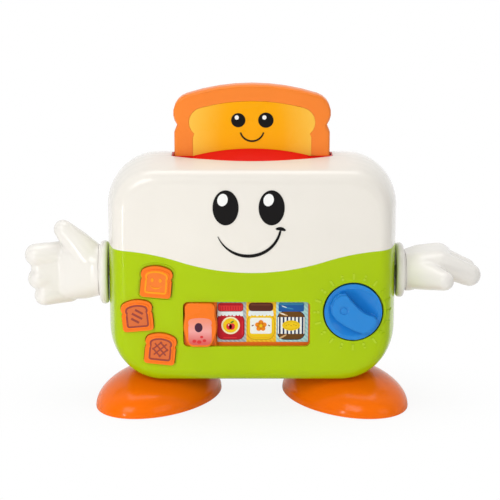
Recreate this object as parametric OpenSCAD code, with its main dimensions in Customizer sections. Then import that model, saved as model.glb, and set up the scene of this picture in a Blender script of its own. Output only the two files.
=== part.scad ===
// Pop-up toaster activity toy with turning hands, a lift-up toast slice,
// three push buttons, a sliding picture pointer and a click dial.
// Millimetres. X to the viewer's right, the face looks along -Y, Z up.
// The origin is on the floor, under the middle of the body.

/* [Body] */
// Width of the body, side to side
body_w = 214; // [210:1:225]
// Depth of the body, front to back
body_d = 82; // [78:1:92]
// Height of the body at its crown
body_h = 169; // [162:1:182]
// Height of the body's underside above the floor
body_lift = 20; // [18:0.5:23]
// Radius of the two top corners, seen from the front
top_corner_r = 37; // [32:1:44]
// Radius of the two bottom corners, seen from the front
bottom_corner_r = 41; // [34:1:46]
// Radius of the rounded edge round the front and the back
edge_r = 11; // [8:0.5:12]
// Radius of the slight crown across the depth
crown_r = 110; // [90:5:150]
// Wall of the moulded shells
wall = 2.4; // [2:0.1:3]
// Height of the lowest point of the colour join above the underside
join_h = 88.5; // [84:0.5:93]
// Rise of the colour join from the middle to the sides
join_rise = 17; // [8:0.5:18]

/* [Toast] */
// Width of the toast slice
toast_w = 115.5; // [108:0.5:116]
// Thickness of the toast slice
toast_t = 15; // [13:0.5:16]
// Height of the toast slice
toast_h = 81; // [76:1:90]
// Height of the toast above the body's crown
toast_show = 52; // [46:1:56]
// How far the toast is pushed down
toast_travel = 40; // [30:1:42]
// Width of the crust round the toast's picture panel
crust_w = 11.5; // [8:0.5:12]
// Wall of the toast's two half shells
toast_wall = 2; // [1.6:0.1:2.4]
// Width of the slot in the body's top
slot_w = 118.5; // [118.5:0.5:122]
// Depth of the slot at its middle
slot_d = 40; // [38:0.5:42]
// Height of the red domes above the crown
dome_rise = 5.3; // [4:0.1:9]

/* [Buttons] */
// Width of a toast-shaped push button
button_w = 23; // [20:0.5:24]
// How far a button stands out of the front
button_proud = 2.4; // [1.5:0.1:3.5]
// How far a button travels
button_travel = 2; // [1:0.1:2.2]

/* [Picture slider] */
// Width of the window
window_w = 93; // [88:0.5:94]
// Height of the window
window_h = 34; // [32:0.5:35]
// Middle of the window, to the right of the body's middle
window_x = -4; // [-6:0.5:-3]
// Middle of the window above the underside
window_z = 49.5; // [48:0.5:52]
// Width of the sliding pointer
pointer_w = 24; // [20:0.5:26]
// Spacing of the pictures
picture_pitch = 22.3; // [20:0.1:22.5]

/* [Dial] */
// Diameter of the dial
dial_w = 42.2; // [38:0.2:44]
// Middle of the dial, to the right of the body's middle
dial_x = 74; // [72:0.5:76]
// Middle of the dial above the underside
dial_z = 59; // [56:0.5:63]
// How far the dial's grip stands out of the front
grip_proud = 6; // [3:0.5:6]

/* [Hands] */
// Height of the hands' turning axis above the underside
hand_z = 80; // [76:0.5:84]
// Gap between the body's side and a cuff
cuff_gap = 0.4; // [0.3:0.1:3]
// Height of a cuff's oval rim
cuff_high = 48; // [42:0.5:50]
// Depth of a cuff's oval rim
cuff_deep = 40.5; // [36:0.5:42]
// Turn of the right hand against the left one
right_turn = 90; // [0:30:90]

/* [Feet] */
// Length of a foot
foot_long = 119; // [104:1:122]
// Width of a foot
foot_wide = 81; // [66:1:84]
// Height of a foot's dome, before the body sits in it
foot_h = 26; // [25:0.5:32]
// Distance of each foot's middle from the body's middle
foot_x = 70.5; // [68:0.5:76]
// Angle at which the toes point outwards
foot_splay = 57; // [35:1:60]
// Height that the soles stand proud of the feet
sole_proud = 1; // [0.6:0.1:1.5]

/* [Fits and fasteners] */
// Radial clearance of a turning shaft
run_fit = 0.06; // [0.02:0.01:0.1]
// Clearance round a sliding or pressed piece
slide_fit = 0.4; // [0.3:0.05:0.5]
// Clearance between fixed pieces that seat on each other
seat_fit = 0.1; // [0.05:0.01:0.2]
// Radius of the screws' shanks
screw_r = 1.5; // [1.3:0.1:1.6]
// Radius of the screws' heads
screw_head_r = 2.8; // [2.5:0.1:3]
// Radius of the hand and dial shafts
shaft_r = 4; // [3.5:0.1:4.5]

/* [Hidden] */

// ---- Planes of the body ----
front_y = -body_d / 2;
rear_y = body_d / 2;
front_in = front_y + wall;
rear_in = rear_y - wall;
top_z = body_lift + body_h;
side_x = body_w / 2;
far = 400;

// ---- The colour join: a wave of three equal arcs ----
join_q = body_w / 4;
join_s = join_rise / 2;
join_r = (join_q * join_q + join_s * join_s) / join_rise;
join_low = body_lift + join_h;

// ---- Case screws: places, bosses and seats ----
case_boss_r = 5;
case_pilot_r = screw_r + 0.05;
case_head_y = 9;
screw_head_t = 2;
case_screw_len = 22;
case_spots = [[-(side_x - 19), body_lift + 32], [side_x - 19, body_lift + 32],
    [-42, body_lift + 18], [42, body_lift + 18],
    [-(side_x - 18), top_z - 34], [side_x - 18, top_z - 34]];

// ---- Front layers, measured inwards from the front wall ----
flange_t = 1.6;
flange_y = front_in + 0.3;
card_t = 0.5;
tray_t = 1.6;
tray_floor_y = flange_y + flange_t + 0.6 + card_t;
card_y = tray_floor_y - card_t;
wiper_y = tray_floor_y + tray_t + 0.4;
wiper_t = 2.8;
board_t = 1.6;
board_y = front_in + 11;
board_back_y = board_y + board_t;

// ---- Picture window and tray ----
window_cz = body_lift + window_z;
window_r = 3.4;
window_left = window_x - window_w / 2;
window_right = window_x + window_w / 2;
window_top = window_cz + window_h / 2;
window_low = window_cz - window_h / 2;
tray_side = 2;
tray_over = 3.4;
tray_wall = 1.8;
tray_in_h = window_h + 2 * tray_over;
jar_w = 20.5;
jar_side = 0.3;
pointer_x = window_left + slide_fit + pointer_w / 2;
pointer_h = window_h - 2 * slide_fit;
pointer_travel = 3 * picture_pitch;

// The tray reaches past the window, and past the last picture where that lies further out
tray_left = window_left - tray_side;
tray_right = max(window_right + tray_side, pointer_x + pointer_travel + jar_w / 2 + jar_side);
tray_in_w = tray_right - tray_left;
tray_x = (tray_left + tray_right) / 2;
pointer_proud = 2.6;
card_low = window_low + 2.2;
card_top = window_top - 0.4;
slit_low = card_top + 0.2;
slit_high = window_top + tray_over - 0.4;
tray_tabs = [[window_x - 22, 1], [window_x + 22, 1], [window_x - 22, -1], [window_x + 22, -1]];
tab_r = 4;
tab_off = tray_in_h / 2 + tray_wall + tab_r - 1;

// ---- Buttons: place of each middle and its tilt ----
smile_at = [-(side_x - 37.3), body_lift + 82.2];
stripe_at = [-(side_x - 23), body_lift + 56.7];
waffle_at = [-(side_x - 39.7), body_lift + 31.4];
smile_tilt = -5;
stripe_tilt = 5;
waffle_tilt = -6;
button_h = button_w + 0.6;
ear_w = 12;
ear_out = 1.8;
stem_r = 4.5;
stem_bore_r = 3.4;
stem_end_y = board_y - button_travel - 0.3;
dome_r = 2.9;
dome_t = button_travel - 0.3;
pusher_at = [-(side_x - 57), body_lift + 83];
pusher_r = 2.5;
pusher_tip_r = 1.2;

// ---- Dial ----
dial_r = dial_w / 2;
dial_cz = body_lift + dial_z;
at_dial = [dial_x, dial_cz];
cup_gap = 1.2;
cup_wall = 2;
cup_floor_y = front_in + 6.6;
cup_floor_t = 2.2;
cup_boss_r = shaft_r + 3;
cup_boss_y = cup_floor_y + cup_floor_t + 3;
dial_face_y = front_y - 1;
dial_star_y = cup_boss_y + 0.3;
star_t = 3.4;
star_teeth = 12;
dial_star_r = 11;
mark_count = 20;

// ---- Hands ----
hand_cz = body_lift + hand_z;
cuff_x = side_x + cuff_gap;
rim_t = 6.2;
neck_t = 0.9;
glove_x = cuff_x + rim_t + neck_t;
cuff_low = 1.5;
wrist_r = 15;
wrist_off = 5;
hub_r = shaft_r + 4;
hub_in_x = side_x - 11;
hand_star_x = hub_in_x - 0.3;
hand_star_r = 9.5;

leaf_x = hand_star_x - star_t / 2;
leaf_t = 0.5;
leaf_half = 12;
leaf_post_r = 2;
leaf_low = hand_star_r + 0.3;
dial_leaf_low = dial_star_r + 0.3;
bump_r = 0.9;

// ---- Toast and its lift ----
toast_top = top_z + toast_show;
toast_low = toast_top - toast_h;
lobe_r = 14;
arch_r = 157;
panel_w = toast_w - 2 * crust_w;
panel_drop = 11.8;
panel_low = 8;
panel_t = 1;
chute_wall = 1.6;
chute_gap = 0.6;
chute_end_gap = 0.4;
chute_y = toast_t / 2 + chute_gap;
insert_t = 2.2;
insert_over = 3;
crown_drop = crown_r - sqrt(pow(crown_r, 2) - pow(slot_d / 2 + insert_over, 2));
insert_z = top_z - wall - crown_drop - insert_t - seat_fit;
carriage_t = 4;
carriage_top = toast_low;
carriage_z = carriage_top - carriage_t;
chute_low = carriage_top + 2;
rod_r = 2;
rod_x = 46;
rod_y_at = chute_y + chute_wall + 5.4;
sleeve_r = 4.5;
sleeve_low = carriage_z - 6;
spring_r = 3.5;
spring_wire = 0.9;
spring_turns = 8;
bracket_t = 6;
spring_fixed_z = sleeve_low - toast_travel - 12;
bracket_z = spring_fixed_z - bracket_t;
slot_end = 8;
slot_arc_r = (pow(slot_w / 2, 2) + pow(slot_d / 2 - slot_end, 2)) / (slot_d - 2 * slot_end);

// ---- Latch ----
latch_x = pusher_at[0];
latch_w = 8;
latch_y = board_back_y + 2.4;
latch_t = 3.5;
latch_pivot_z = pusher_at[1] + 9;
latch_pin_r = 1.5;
catch_top = carriage_top - toast_travel;
catch_y = -(chute_y + chute_wall);

// ---- Back of the body ----
battery_z = body_lift + 41;
cell_r = 7.1;
cell_len = 50;
cell_pitch = 15.5;
box_w = 64;
box_h = 3 * cell_pitch + 2.4;
box_d = 19;
box_wall = 1.6;
door_w = 62;
door_t = 1.6;
door_low = battery_z - box_h / 2;
door_top = battery_z + box_h / 2 + 8;
door_h = door_top - door_low;
door_z = (door_top + door_low) / 2;
open_h = box_h - 2 * box_wall - 1;
door_screw_at = [0, door_top - 4];
speaker_at = [-(side_x - 45), body_lift + 55];
speaker_r = 18;
switch_at = [side_x - 45, body_lift + 55];
switch_travel = 8;
switch_w = 6;
switch_h = 5;

// ---- Printed face ----
face_x = -2.5;
face_t = 0.35;
eye_gap = 16.6;
eye_w = 18.8;
eye_h = 25.8;
eye_z = top_z - 32;
smile_half = 22.5;
smile_sag = 17.7;
smile_low = top_z - 69;
smile_t = 1.9;

// ==== Outlines and small helpers ====

function arc(c, r, a0, a1, n) =
    [for (i = [0:n]) let (a = a0 + (a1 - a0) * i / n) [c[0] + r * cos(a), c[1] + r * sin(a)]];

function tidy(v) = [for (i = [0:len(v) - 1]) if (i == 0 || norm(v[i] - v[i - 1]) > 0.001) v[i]];

function mirrored(v) = [for (i = [len(v) - 1:-1:0]) [-v[i][0], v[i][1]]];

// Cross-section of the body's rim: [distance from the corner's axis, depth]
function rim(r, half, crown, edge) =
    let (y = half - edge, p = r - crown + sqrt(pow(crown - edge, 2) - y * y))
    let (a = atan2(y, p - r + crown))
    tidy(concat([[0, -half]], arc([p, -y], edge, -90, -a, 6), arc([r - crown, 0], crown, -a, a, 8),
        arc([p, y], edge, a, 90, 6), [[0, half]]));

// Outline of a bread slice standing on z = 0
function slice(w, h, lobe, arch, foot, n = 1, waist = 38, narrow = 0.05) =
    let (cx = w / 2 - lobe, base = h - arch, cz = base + sqrt(pow(arch - lobe, 2) - cx * cx))
    let (a = atan2(cz - base, cx), side = w / 2 - lobe * narrow)
    let (right = concat(arc([side - foot, foot], foot, -90, 0, 4), [[side, cz - lobe]],
        arc([cx, cz], lobe, -waist, a, 7 * n), arc([0, base], arch, a, 90, 4 * n)))
    tidy(concat(right, mirrored(right)));

function button_slice(grow = 0) =
    slice(button_w + 2 * grow, button_h + 2 * grow, max(0.3, button_w * 0.21 + grow),
        button_w * 0.9 + grow, max(0.3, 2.5 + grow));

// Teeth of a click wheel, with a valley at angle 0
function star_pts(r) = [for (i = [0:star_teeth * 6 - 1])
    let (a = i * 60 / star_teeth) (r - 0.8 - 0.8 * cos(a * star_teeth)) * [cos(a), sin(a)]];

// A flat outline in X and Z, from depth y0 to depth y1
module slab_y(y0, y1) translate([0, y1, 0]) rotate([90, 0, 0]) linear_extrude(y1 - y0) children();

module rod_along_y(at, r, y0, y1)
    translate([at[0], y1, at[1]]) rotate([90, 0, 0]) cylinder(r = r, h = y1 - y0, $fn = 48);

module rod_along_x(y, z, r, x0, x1)
    translate([x0, y, z]) rotate([0, 90, 0]) cylinder(r = r, h = x1 - x0, $fn = 48);

module rod_along_z(x, y, r, z0, z1)
    translate([x, y, z0]) cylinder(r = r, h = z1 - z0, $fn = 48);

module box(x, y, z)
    translate([x[0], y[0], z[0]]) cube([x[1] - x[0], y[1] - y[0], z[1] - z[0]]);

module plate(w, h, r) {
    corners = concat(arc([w / 2 - r, h / 2 - r], r, 0, 90, 5), arc([r - w / 2, h / 2 - r], r, 90, 180, 5),
        arc([r - w / 2, r - h / 2], r, 180, 270, 5), arc([w / 2 - r, r - h / 2], r, 270, 360, 5));
    polygon(tidy(corners));
}

module ring(r_out, r_in) difference() {
    circle(r_out, $fn = 64);
    circle(r_in, $fn = 64);
}

module at_xz(at, tilt = 0) translate([at[0], at[1]]) rotate(tilt) children();

module button_shape(at, tilt, grow = 0)
    at_xz(at, tilt) translate([0, -button_h / 2 - grow]) polygon(button_slice(grow));

// A round tube along a list of points, with flat ends
function unit(v) = v / norm(v);
function heading(p, i) = unit(p[min(i + 1, len(p) - 1)] - p[max(i - 1, 0)]);
function tube_ring(c, d, r, n) =
    let (u = unit(cross(d, abs(d[2]) > 0.8 ? [1, 0, 0] : [0, 0, 1])), v = cross(d, u))
    [for (k = [0:n - 1]) c + r * (cos(360 * k / n) * u + sin(360 * k / n) * v)];

module tube(p, r, n = 6) {
    rings = len(p);
    pts = [for (i = [0:rings - 1]) each tube_ring(p[i], heading(p, i), r, n)];
    walls = [for (i = [0:rings - 2], k = [0:n - 1]) let (m = (k + 1) % n)
        each [[i * n + k, i * n + m, (i + 1) * n + m], [i * n + k, (i + 1) * n + m, (i + 1) * n + k]]];
    low = [for (k = [1:n - 2]) [0, k + 1, k]];
    high = [for (k = [1:n - 2]) let (b = (rings - 1) * n) [b, b + k, b + k + 1]];
    polyhedron(pts, concat(walls, low, high));
}

// ==== The body's form ====

module rim_corner(r, half, crown, edge, turn)
    rotate([90, -turn, 0]) rotate_extrude(angle = 90, $fn = 72) polygon(rim(r, half, crown, edge));

// A straight run of the rim along X, with its outside up
module rim_bar(r, half, crown, edge, len)
    rotate([90, 0, 90]) linear_extrude(len, center = true)
        polygon([for (q = rim(r, half, crown, edge)) [q[1], q[0]]]);

// The whole closed form, grown or shrunk by a parallel step
module body_form(step = 0) {
    half = body_d / 2 + step;
    crown = crown_r + step;
    edge = edge_r + step;
    upper_r = top_corner_r + step;
    lower_r = bottom_corner_r + step;
    upper_x = side_x - top_corner_r;
    lower_x = side_x - bottom_corner_r;
    upper_z = top_z - top_corner_r;
    lower_z = body_lift + bottom_corner_r;
    for (turn = [0, 90]) translate([turn == 0 ? upper_x : -upper_x, 0, upper_z])
        rim_corner(upper_r, half, crown, edge, turn);
    for (turn = [180, 270]) translate([turn == 270 ? lower_x : -lower_x, 0, lower_z])
        rim_corner(lower_r, half, crown, edge, turn);
    translate([0, 0, upper_z]) rim_bar(upper_r, half, crown, edge, 2 * upper_x);
    translate([0, 0, lower_z]) mirror([0, 0, 1]) rim_bar(lower_r, half, crown, edge, 2 * lower_x);
    for (m = [0, 1]) mirror([m, 0, 0]) translate([lower_x, 0, lower_z])
        linear_extrude(upper_z - lower_z) polygon(rim(lower_r, half, crown, edge));
    box([-lower_x, lower_x], [-half, half], [lower_z, upper_z]);
}

// Everything below the colour join, seen from the front
module below_join() difference() {
    union() {
        translate([-far, -far / 2]) square([2 * far, far / 2 + join_low + join_s]);
        for (m = [-1, 1]) translate([m * side_x, join_low + join_rise - join_r]) circle(join_r, $fn = 200);
    }
    translate([0, join_low + join_r]) circle(join_r, $fn = 200);
}

module above_join() difference() {
    translate([-far, 0]) square([2 * far, far]);
    below_join();
}

// side is -1 for the front and 1 for the rear
module half_space(side)
    translate([-far, side < 0 ? -far : 0, -far]) cube([2 * far, far, 2 * far]);

module shell_wall(side) intersection() {
    difference() {
        body_form();
        body_form(-wall);
    }
    half_space(side);
    slab_y(-far / 2, far / 2) children();
}

module slot_outline(grow = 0) intersection() {
    square([slot_w + 2 * grow, slot_d + 2 * grow], center = true);
    translate([0, slot_d / 2 - slot_arc_r]) circle(slot_arc_r + grow, $fn = 180);
    translate([0, slot_arc_r - slot_d / 2]) circle(slot_arc_r + grow, $fn = 180);
}

module slot_cut() translate([0, 0, insert_z + insert_t]) linear_extrude(far) slot_outline();

module front_bosses(spots) for (at = spots)
    rod_along_y(at, case_boss_r - 1, front_y + wall / 2, 0);

module front_pilots(spots) for (at = spots)
    rod_along_y(at, case_pilot_r, case_head_y - case_screw_len - 1, 1);

module rear_bosses(spots) for (at = spots)
    rod_along_y(at, case_boss_r, 0, rear_y - wall / 2);

module rear_drills(spots) for (at = spots) {
    rod_along_y(at, case_pilot_r, -1, far / 4);
    rod_along_y(at, screw_head_r + 0.3, case_head_y, far / 4);
}

low_spots = [for (i = [0:3]) case_spots[i]];
high_spots = [for (i = [4:5]) case_spots[i]];

module front_upper_shell() color("ivory") difference() {
    union() {
        shell_wall(-1) above_join();
        front_bosses(high_spots);
    }
    front_pilots(high_spots);
    slot_cut();
}

module rear_upper_shell() color("ivory") difference() {
    union() {
        shell_wall(1) above_join();
        rear_bosses(high_spots);
    }
    rear_drills(high_spots);
    slot_cut();
}

// ---- Bearing hubs for the hands, and seats for the foot screws ----
foot_spots = [for (m = [-1, 1], n = [-1, 1]) [m * (foot_x - 11), n * 18]];
foot_boss_r = 4.5;
foot_boss_top = body_lift + 15;
foot_head_z = 8;

module hand_hubs() for (m = [0, 1]) mirror([m, 0, 0])
    rod_along_x(0, hand_cz, hub_r, hub_in_x, side_x - wall / 2);
module hand_bores() for (m = [0, 1]) mirror([m, 0, 0])
    rod_along_x(0, hand_cz, shaft_r + run_fit, hub_in_x - 1, side_x + 1);
module foot_bosses(side) for (at = foot_spots) if (at[1] * side > 0)
    rod_along_z(at[0], at[1], foot_boss_r, body_lift + wall, foot_boss_top);
module foot_pilots() for (at = foot_spots)
    rod_along_z(at[0], at[1], case_pilot_r, 0, foot_boss_top + 1);

// ---- Raised marks round the dial ----
module dial_marks() for (i = [0:mark_count - 1]) at_xz(at_dial, i * 360 / mark_count + 90)
    if (i % 2 == 0) {
        translate([dial_r + 5.8, 0]) square([4.6, 1.5], center = true);
    } else {
        translate([dial_r + 4.6, 0]) circle(1.1, $fn = 12);
        translate([dial_r + 7.2, 0]) circle(0.9, $fn = 12);
    }

// ---- Raised line round the top button ----
module button_line() difference() {
    button_shape(smile_at, smile_tilt, 2.2);
    button_shape(smile_at, smile_tilt, 1.4);
}

module button_holes() {
    button_shape(smile_at, smile_tilt, slide_fit);
    button_shape(stripe_at, stripe_tilt, slide_fit);
    button_shape(waffle_at, waffle_tilt, slide_fit);
}

raised = 0.6;
board_posts = [[-(side_x - 16), body_lift + 74], [-40, body_lift + 79], [30, body_lift + 79],
    [-50, body_lift + 24.5], [33, body_lift + 24.5]];
post_r = 2.6;

module dial_cup() {
    rod_along_y(at_dial, dial_r + cup_gap + cup_wall, front_in - wall / 2, cup_floor_y + cup_floor_t);
    rod_along_y(at_dial, cup_boss_r, cup_floor_y, cup_boss_y);
}

stake_r = 1.2;
small_screw_r = 1.1;
small_head_r = 2;
small_screw_len = 7;

module tray_stake(at) {
    rod_along_y(at, post_r, front_in - wall / 2, flange_y);
    rod_along_y(at, stake_r, front_in - wall / 2, flange_y + flange_t + 1);
}

module latch_lugs() for (m = [-1, 1]) translate([latch_x + m * (latch_w / 2 + 2), 0, 0])
    box([-1.2, 1.2], [front_in - 0.5, latch_y + latch_t + 1.6], [latch_pivot_z - 3, latch_pivot_z + 3]);

module front_lower_shell() color("yellowgreen") difference() {
    union() {
        shell_wall(-1) below_join();
        front_bosses(low_spots);
        intersection() {
            hand_hubs();
            half_space(-1);
        }
        foot_bosses(-1);
        dial_cup();
        latch_lugs();
        for (at = board_posts) rod_along_y(at, post_r, front_in - wall / 2, board_y);
        for (t = tray_tabs) tray_stake([t[0], window_cz + t[1] * tab_off]);
        for (m = [-1, 1])
            rod_along_y([m * leaf_x, hand_cz + leaf_low], leaf_post_r, front_in - wall / 2, -leaf_half);
        box([dial_x - leaf_half - 3, dial_x - leaf_half], [cup_floor_y, dial_star_y + star_t],
            [dial_cz + dial_leaf_low - 2, dial_cz + dial_leaf_low + 2]);
        intersection() {
            difference() {
                body_form(raised);
                body_form(-wall / 2);
            }
            slab_y(front_y - 2, front_y + edge_r) {
                dial_marks();
                button_line();
            }
        }
    }
    front_pilots(low_spots);
    hand_bores();
    foot_pilots();
    slab_y(front_y - 5, front_in + 5) button_holes();
    slab_y(front_y - 5, front_in + 0.2) at_xz([window_x, window_cz])
        plate(window_w, window_h, window_r);
    rod_along_y(at_dial, dial_r + cup_gap, front_y - 5, cup_floor_y);
    rod_along_y(at_dial, shaft_r + run_fit, front_y, cup_boss_y + 1);
    rod_along_x(latch_y + latch_t / 2, latch_pivot_z, latch_pin_r + run_fit, latch_x - 20, latch_x + 20);
    for (at = board_posts)
        rod_along_y(at, small_screw_r + 0.05, board_back_y - small_screw_len - 1, board_y + 1);
}

speaker_rib = 1.8;
speaker_t = 3.4;
grille_pitch = 5;

module grille_holes() for (i = [-3:3], j = [-3:3])
    if (norm([i + j / 2, j * 0.866]) < 2.9)
        rod_along_y(speaker_at + grille_pitch * [i + j / 2, j * 0.866], 1.2, rear_in - 1, rear_y + 1);

bracket_posts = [[8 - rod_x, bracket_z + bracket_t / 2], [rod_x - 8, bracket_z + bracket_t / 2]];
bracket_y = rod_y_at + 4.5;

module rear_lower_shell() color("yellowgreen") difference() {
    union() {
        shell_wall(1) below_join();
        rear_bosses(low_spots);
        intersection() {
            hand_hubs();
            half_space(1);
        }
        foot_bosses(1);
        slab_y(rear_in - speaker_t, rear_in + 0.5) at_xz(speaker_at)
            ring(speaker_r + 0.3 + speaker_rib, speaker_r + 0.3);
        for (at = bracket_posts) rod_along_y(at, 4, bracket_y, rear_in + 0.5);
        rod_along_y(door_screw_at, 4, rear_in - 9, rear_in + 0.5);
    }
    rear_drills(low_spots);
    hand_bores();
    foot_pilots();
    grille_holes();
    slab_y(rear_y - door_t - 0.05, rear_y + 2) at_xz([0, door_z])
        plate(door_w + 2 * seat_fit, door_h + 2 * seat_fit, 4);
    slab_y(rear_in - 1, rear_y + 2) at_xz([0, battery_z]) plate(box_w - 2 * box_wall - 4, open_h, 3);
    rod_along_y(door_screw_at, case_pilot_r, rear_in - 8, rear_y);
    slab_y(rear_in - 1, rear_y + 2) at_xz(switch_at)
        square([switch_w + switch_travel + 1, switch_h + 0.8], center = true);
    for (at = bracket_posts) rod_along_y(at, case_pilot_r, bracket_y - 1, rear_in);
}

// ---- Red slot insert: two domes, a flange and the chute that guides the toast ----
dome_half = slot_w * 0.39;
dome_edge_drop = 1;
dome_tip = top_z + dome_rise;
dome_end = top_z - dome_edge_drop;
dome_low = top_z - 1.5;
dome_front = slot_d / 2 - 0.4;

// Middle of the sphere through the dome's peak, its two ends and its outer edge
dome_cz = (pow(dome_tip, 2) - pow(dome_end, 2) - pow(dome_half, 2)) / (2 * (dome_tip - dome_end));
dome_cy = (pow(dome_low - dome_cz, 2) - pow(dome_tip - dome_cz, 2) + pow(dome_front, 2) - pow(chute_y, 2))
    / (2 * (dome_front - chute_y));
dome_sphere_r = norm([dome_cy - chute_y, dome_tip - dome_cz]);

chute_top = top_z - 0.2;
module chute_outline()
    square([toast_w, toast_t] + 2 * [chute_end_gap + chute_wall, chute_gap + chute_wall], center = true);

module slot_insert() color("red") difference() {
    union() {
        translate([0, 0, insert_z]) linear_extrude(insert_t) slot_outline(insert_over - 0.3);
        translate([0, 0, chute_low]) linear_extrude(insert_z + insert_t - chute_low) chute_outline();
        translate([0, 0, insert_z]) linear_extrude(chute_top - insert_z) intersection() {
            chute_outline();
            slot_outline(-0.3);
        }
        for (m = [0, 1]) mirror([0, m, 0]) intersection() {
            translate([0, -dome_cy, dome_cz]) sphere(dome_sphere_r, $fn = 180);
            translate([0, 0, insert_z + 0.5]) linear_extrude(far / 4) slot_outline(-0.3);
            box([-dome_half, dome_half], [-slot_d, -chute_y], [insert_z, dome_tip + 1]);
        }
        for (m = [-1, 1]) rod_along_z(m * rod_x, rod_y_at, rod_r + 2, chute_low + 6, insert_z + 0.5);
    }
    translate([0, 0, chute_low - 1]) linear_extrude(far / 4)
        square([toast_w + 2 * chute_end_gap, toast_t + 2 * chute_gap], center = true);
    for (m = [-1, 1]) rod_along_z(m * rod_x, rod_y_at, rod_r + 0.05, 0, insert_z - 1);
}

// ==== Feet ====

// Dome outline of a foot, before it is stretched to an oval
function foot_dome(n) = concat([[0, 0]], arc([0, 0], 1, 0, 90, n));

module foot_bulk(shrink) resize([foot_long - 2 * shrink, foot_wide - 2 * shrink, foot_h - shrink])
    rotate_extrude($fn = 44) polygon(foot_dome(8));

module foot_oval(shrink, t) resize([foot_long - 2 * shrink, foot_wide - 2 * shrink, t])
    cylinder(r = 1, h = 1, $fn = 44);

module foot_place(side) translate([side * foot_x, 0, 0]) rotate(-side * foot_splay) children();

foot_wall = 2.4;
sole_in = foot_wall + 0.5;
sole_t = 3;

module foot(side) color("darkorange") difference() {
    union() {
        difference() {
            foot_place(side) translate([0, 0, sole_proud]) foot_bulk(0);
            intersection() {
                foot_place(side) translate([0, 0, sole_proud - 0.01]) foot_bulk(foot_wall);
                box([-far, far], [-far, far], [0, body_lift - foot_wall]);
            }
            body_form(seat_fit);
        }
        for (at = foot_spots) if (at[0] * side > 0)
            rod_along_z(at[0], at[1], foot_boss_r, sole_t, body_lift - 0.6);
    }
    for (at = foot_spots) {
        rod_along_z(at[0], at[1], case_pilot_r, 0, body_lift + 5);
        rod_along_z(at[0], at[1], screw_head_r + 0.3, -1, foot_head_z + screw_head_t);
    }
}

module left_foot() foot(-1);
module right_foot() foot(1);
module sole(side) color("dimgray") difference() {
    foot_place(side) foot_oval(sole_in, sole_t);
    for (at = foot_spots) rod_along_z(at[0], at[1], screw_head_r + 0.3, -1, sole_t + 1);
}
module left_sole() sole(-1);
module right_sole() sole(1);

// ==== Fasteners ====

module screw_y(at, seat_y, len, head_r, r) {
    rod_along_y(at, head_r, seat_y, seat_y + screw_head_t);
    rod_along_y(at, r, seat_y - len, seat_y);
}

module case_screws() color("silver")
    for (at = case_spots) screw_y(at, case_head_y, case_screw_len, screw_head_r, screw_r);

module foot_screws() color("silver") for (at = foot_spots) {
    rod_along_z(at[0], at[1], screw_head_r, foot_head_z, foot_head_z + screw_head_t);
    rod_along_z(at[0], at[1], screw_r, foot_head_z + screw_head_t, foot_boss_top - 1);
}

bracket_arm_t = 4;
bracket_seat_y = bracket_y - bracket_arm_t;

module inner_screws() color("silver") {
    for (at = board_posts) screw_y(at, board_back_y, small_screw_len, small_head_r, small_screw_r);
    for (at = bracket_posts) {
        rod_along_y(at, screw_head_r, bracket_seat_y - screw_head_t, bracket_seat_y);
        rod_along_y(at, screw_r, bracket_seat_y, bracket_y + 8);
    }
}

// ==== Picture window ====

module picture_tray() color("darkorange") difference() {
    union() {
        slab_y(front_in, tray_floor_y + tray_t) at_xz([tray_x, window_cz])
            plate(tray_in_w + 2 * tray_wall, tray_in_h + 2 * tray_wall, 3);
        slab_y(flange_y, flange_y + flange_t) for (t = tray_tabs)
            at_xz([t[0], window_cz + t[1] * tab_off]) circle(tab_r, $fn = 48);
    }
    slab_y(front_in - 1, tray_floor_y) at_xz([tray_x, window_cz]) plate(tray_in_w, tray_in_h, 1.5);
    for (t = tray_tabs)
        rod_along_y([t[0], window_cz + t[1] * tab_off], stake_r + 0.1, front_in, wiper_y);
    box([pointer_x - stem_half - 1, pointer_x + pointer_travel + stem_half + 1],
        [tray_floor_y - 1, tray_floor_y + tray_t + 1], [slit_low, slit_high]);
}

card_left = window_left - 1.5;
card_right = tray_right - 3.2;

module picture_card() color("lightgray")
    box([card_left, card_right], [card_y, tray_floor_y], [card_low, card_top]);

jar_h = 19;
lid_w = 18;
lid_h = 6.4;
neck_h = 3;
print_t = 0.2;

// One storage jar: body, neck and lid, standing on z = 0
module jar_shape() {
    translate([0, jar_h / 2]) plate(jar_w, jar_h, 4);
    translate([-lid_w / 2 + 0.5, jar_h - 0.1]) square([lid_w - 1, neck_h + 0.2]);
    translate([0, jar_h + neck_h + lid_h / 2]) plate(lid_w, lid_h, 1);
}

module jar_pictures() color("firebrick") slab_y(card_y - print_t, card_y)
    for (i = [1:3]) at_xz([pointer_x + i * picture_pitch, card_low + 1.4]) jar_shape();

// The pointer: a small loaf, widest at its middle, with a waist under its top
function loaf_half(w, h) = concat(
    arc([0.2 * w, 0.17 * w], 0.17 * w, -90, -25, 5),
    arc([-0.5 * w, 0.46 * h], w, -27, 10, 6),
    [[0.45 * w, 0.71 * h]],
    arc([0.3 * w, h - 0.16 * w], 0.16 * w, -10, 90, 6));

module loaf_shape(w, h) polygon(tidy(concat(loaf_half(w, h), mirrored(loaf_half(w, h)))));

stem_half = 3;
pointer_low = window_low + slide_fit;
pointer_face_y = front_y - pointer_proud;

module pointer_knob() color("orange") union() {
    slab_y(pointer_face_y, flange_y + 0.2) at_xz([pointer_x, pointer_low]) loaf_shape(pointer_w, pointer_h);
    slab_y(flange_y, flange_y + flange_t) at_xz([pointer_x, window_cz])
        plate(pointer_w + 1, window_h + 2 * tray_over - 1.2, 1);
    box([pointer_x - stem_half, pointer_x + stem_half], [flange_y + flange_t - 0.2, wiper_y],
        [slit_low + 0.4, slit_high - 0.4]);
}

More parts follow.
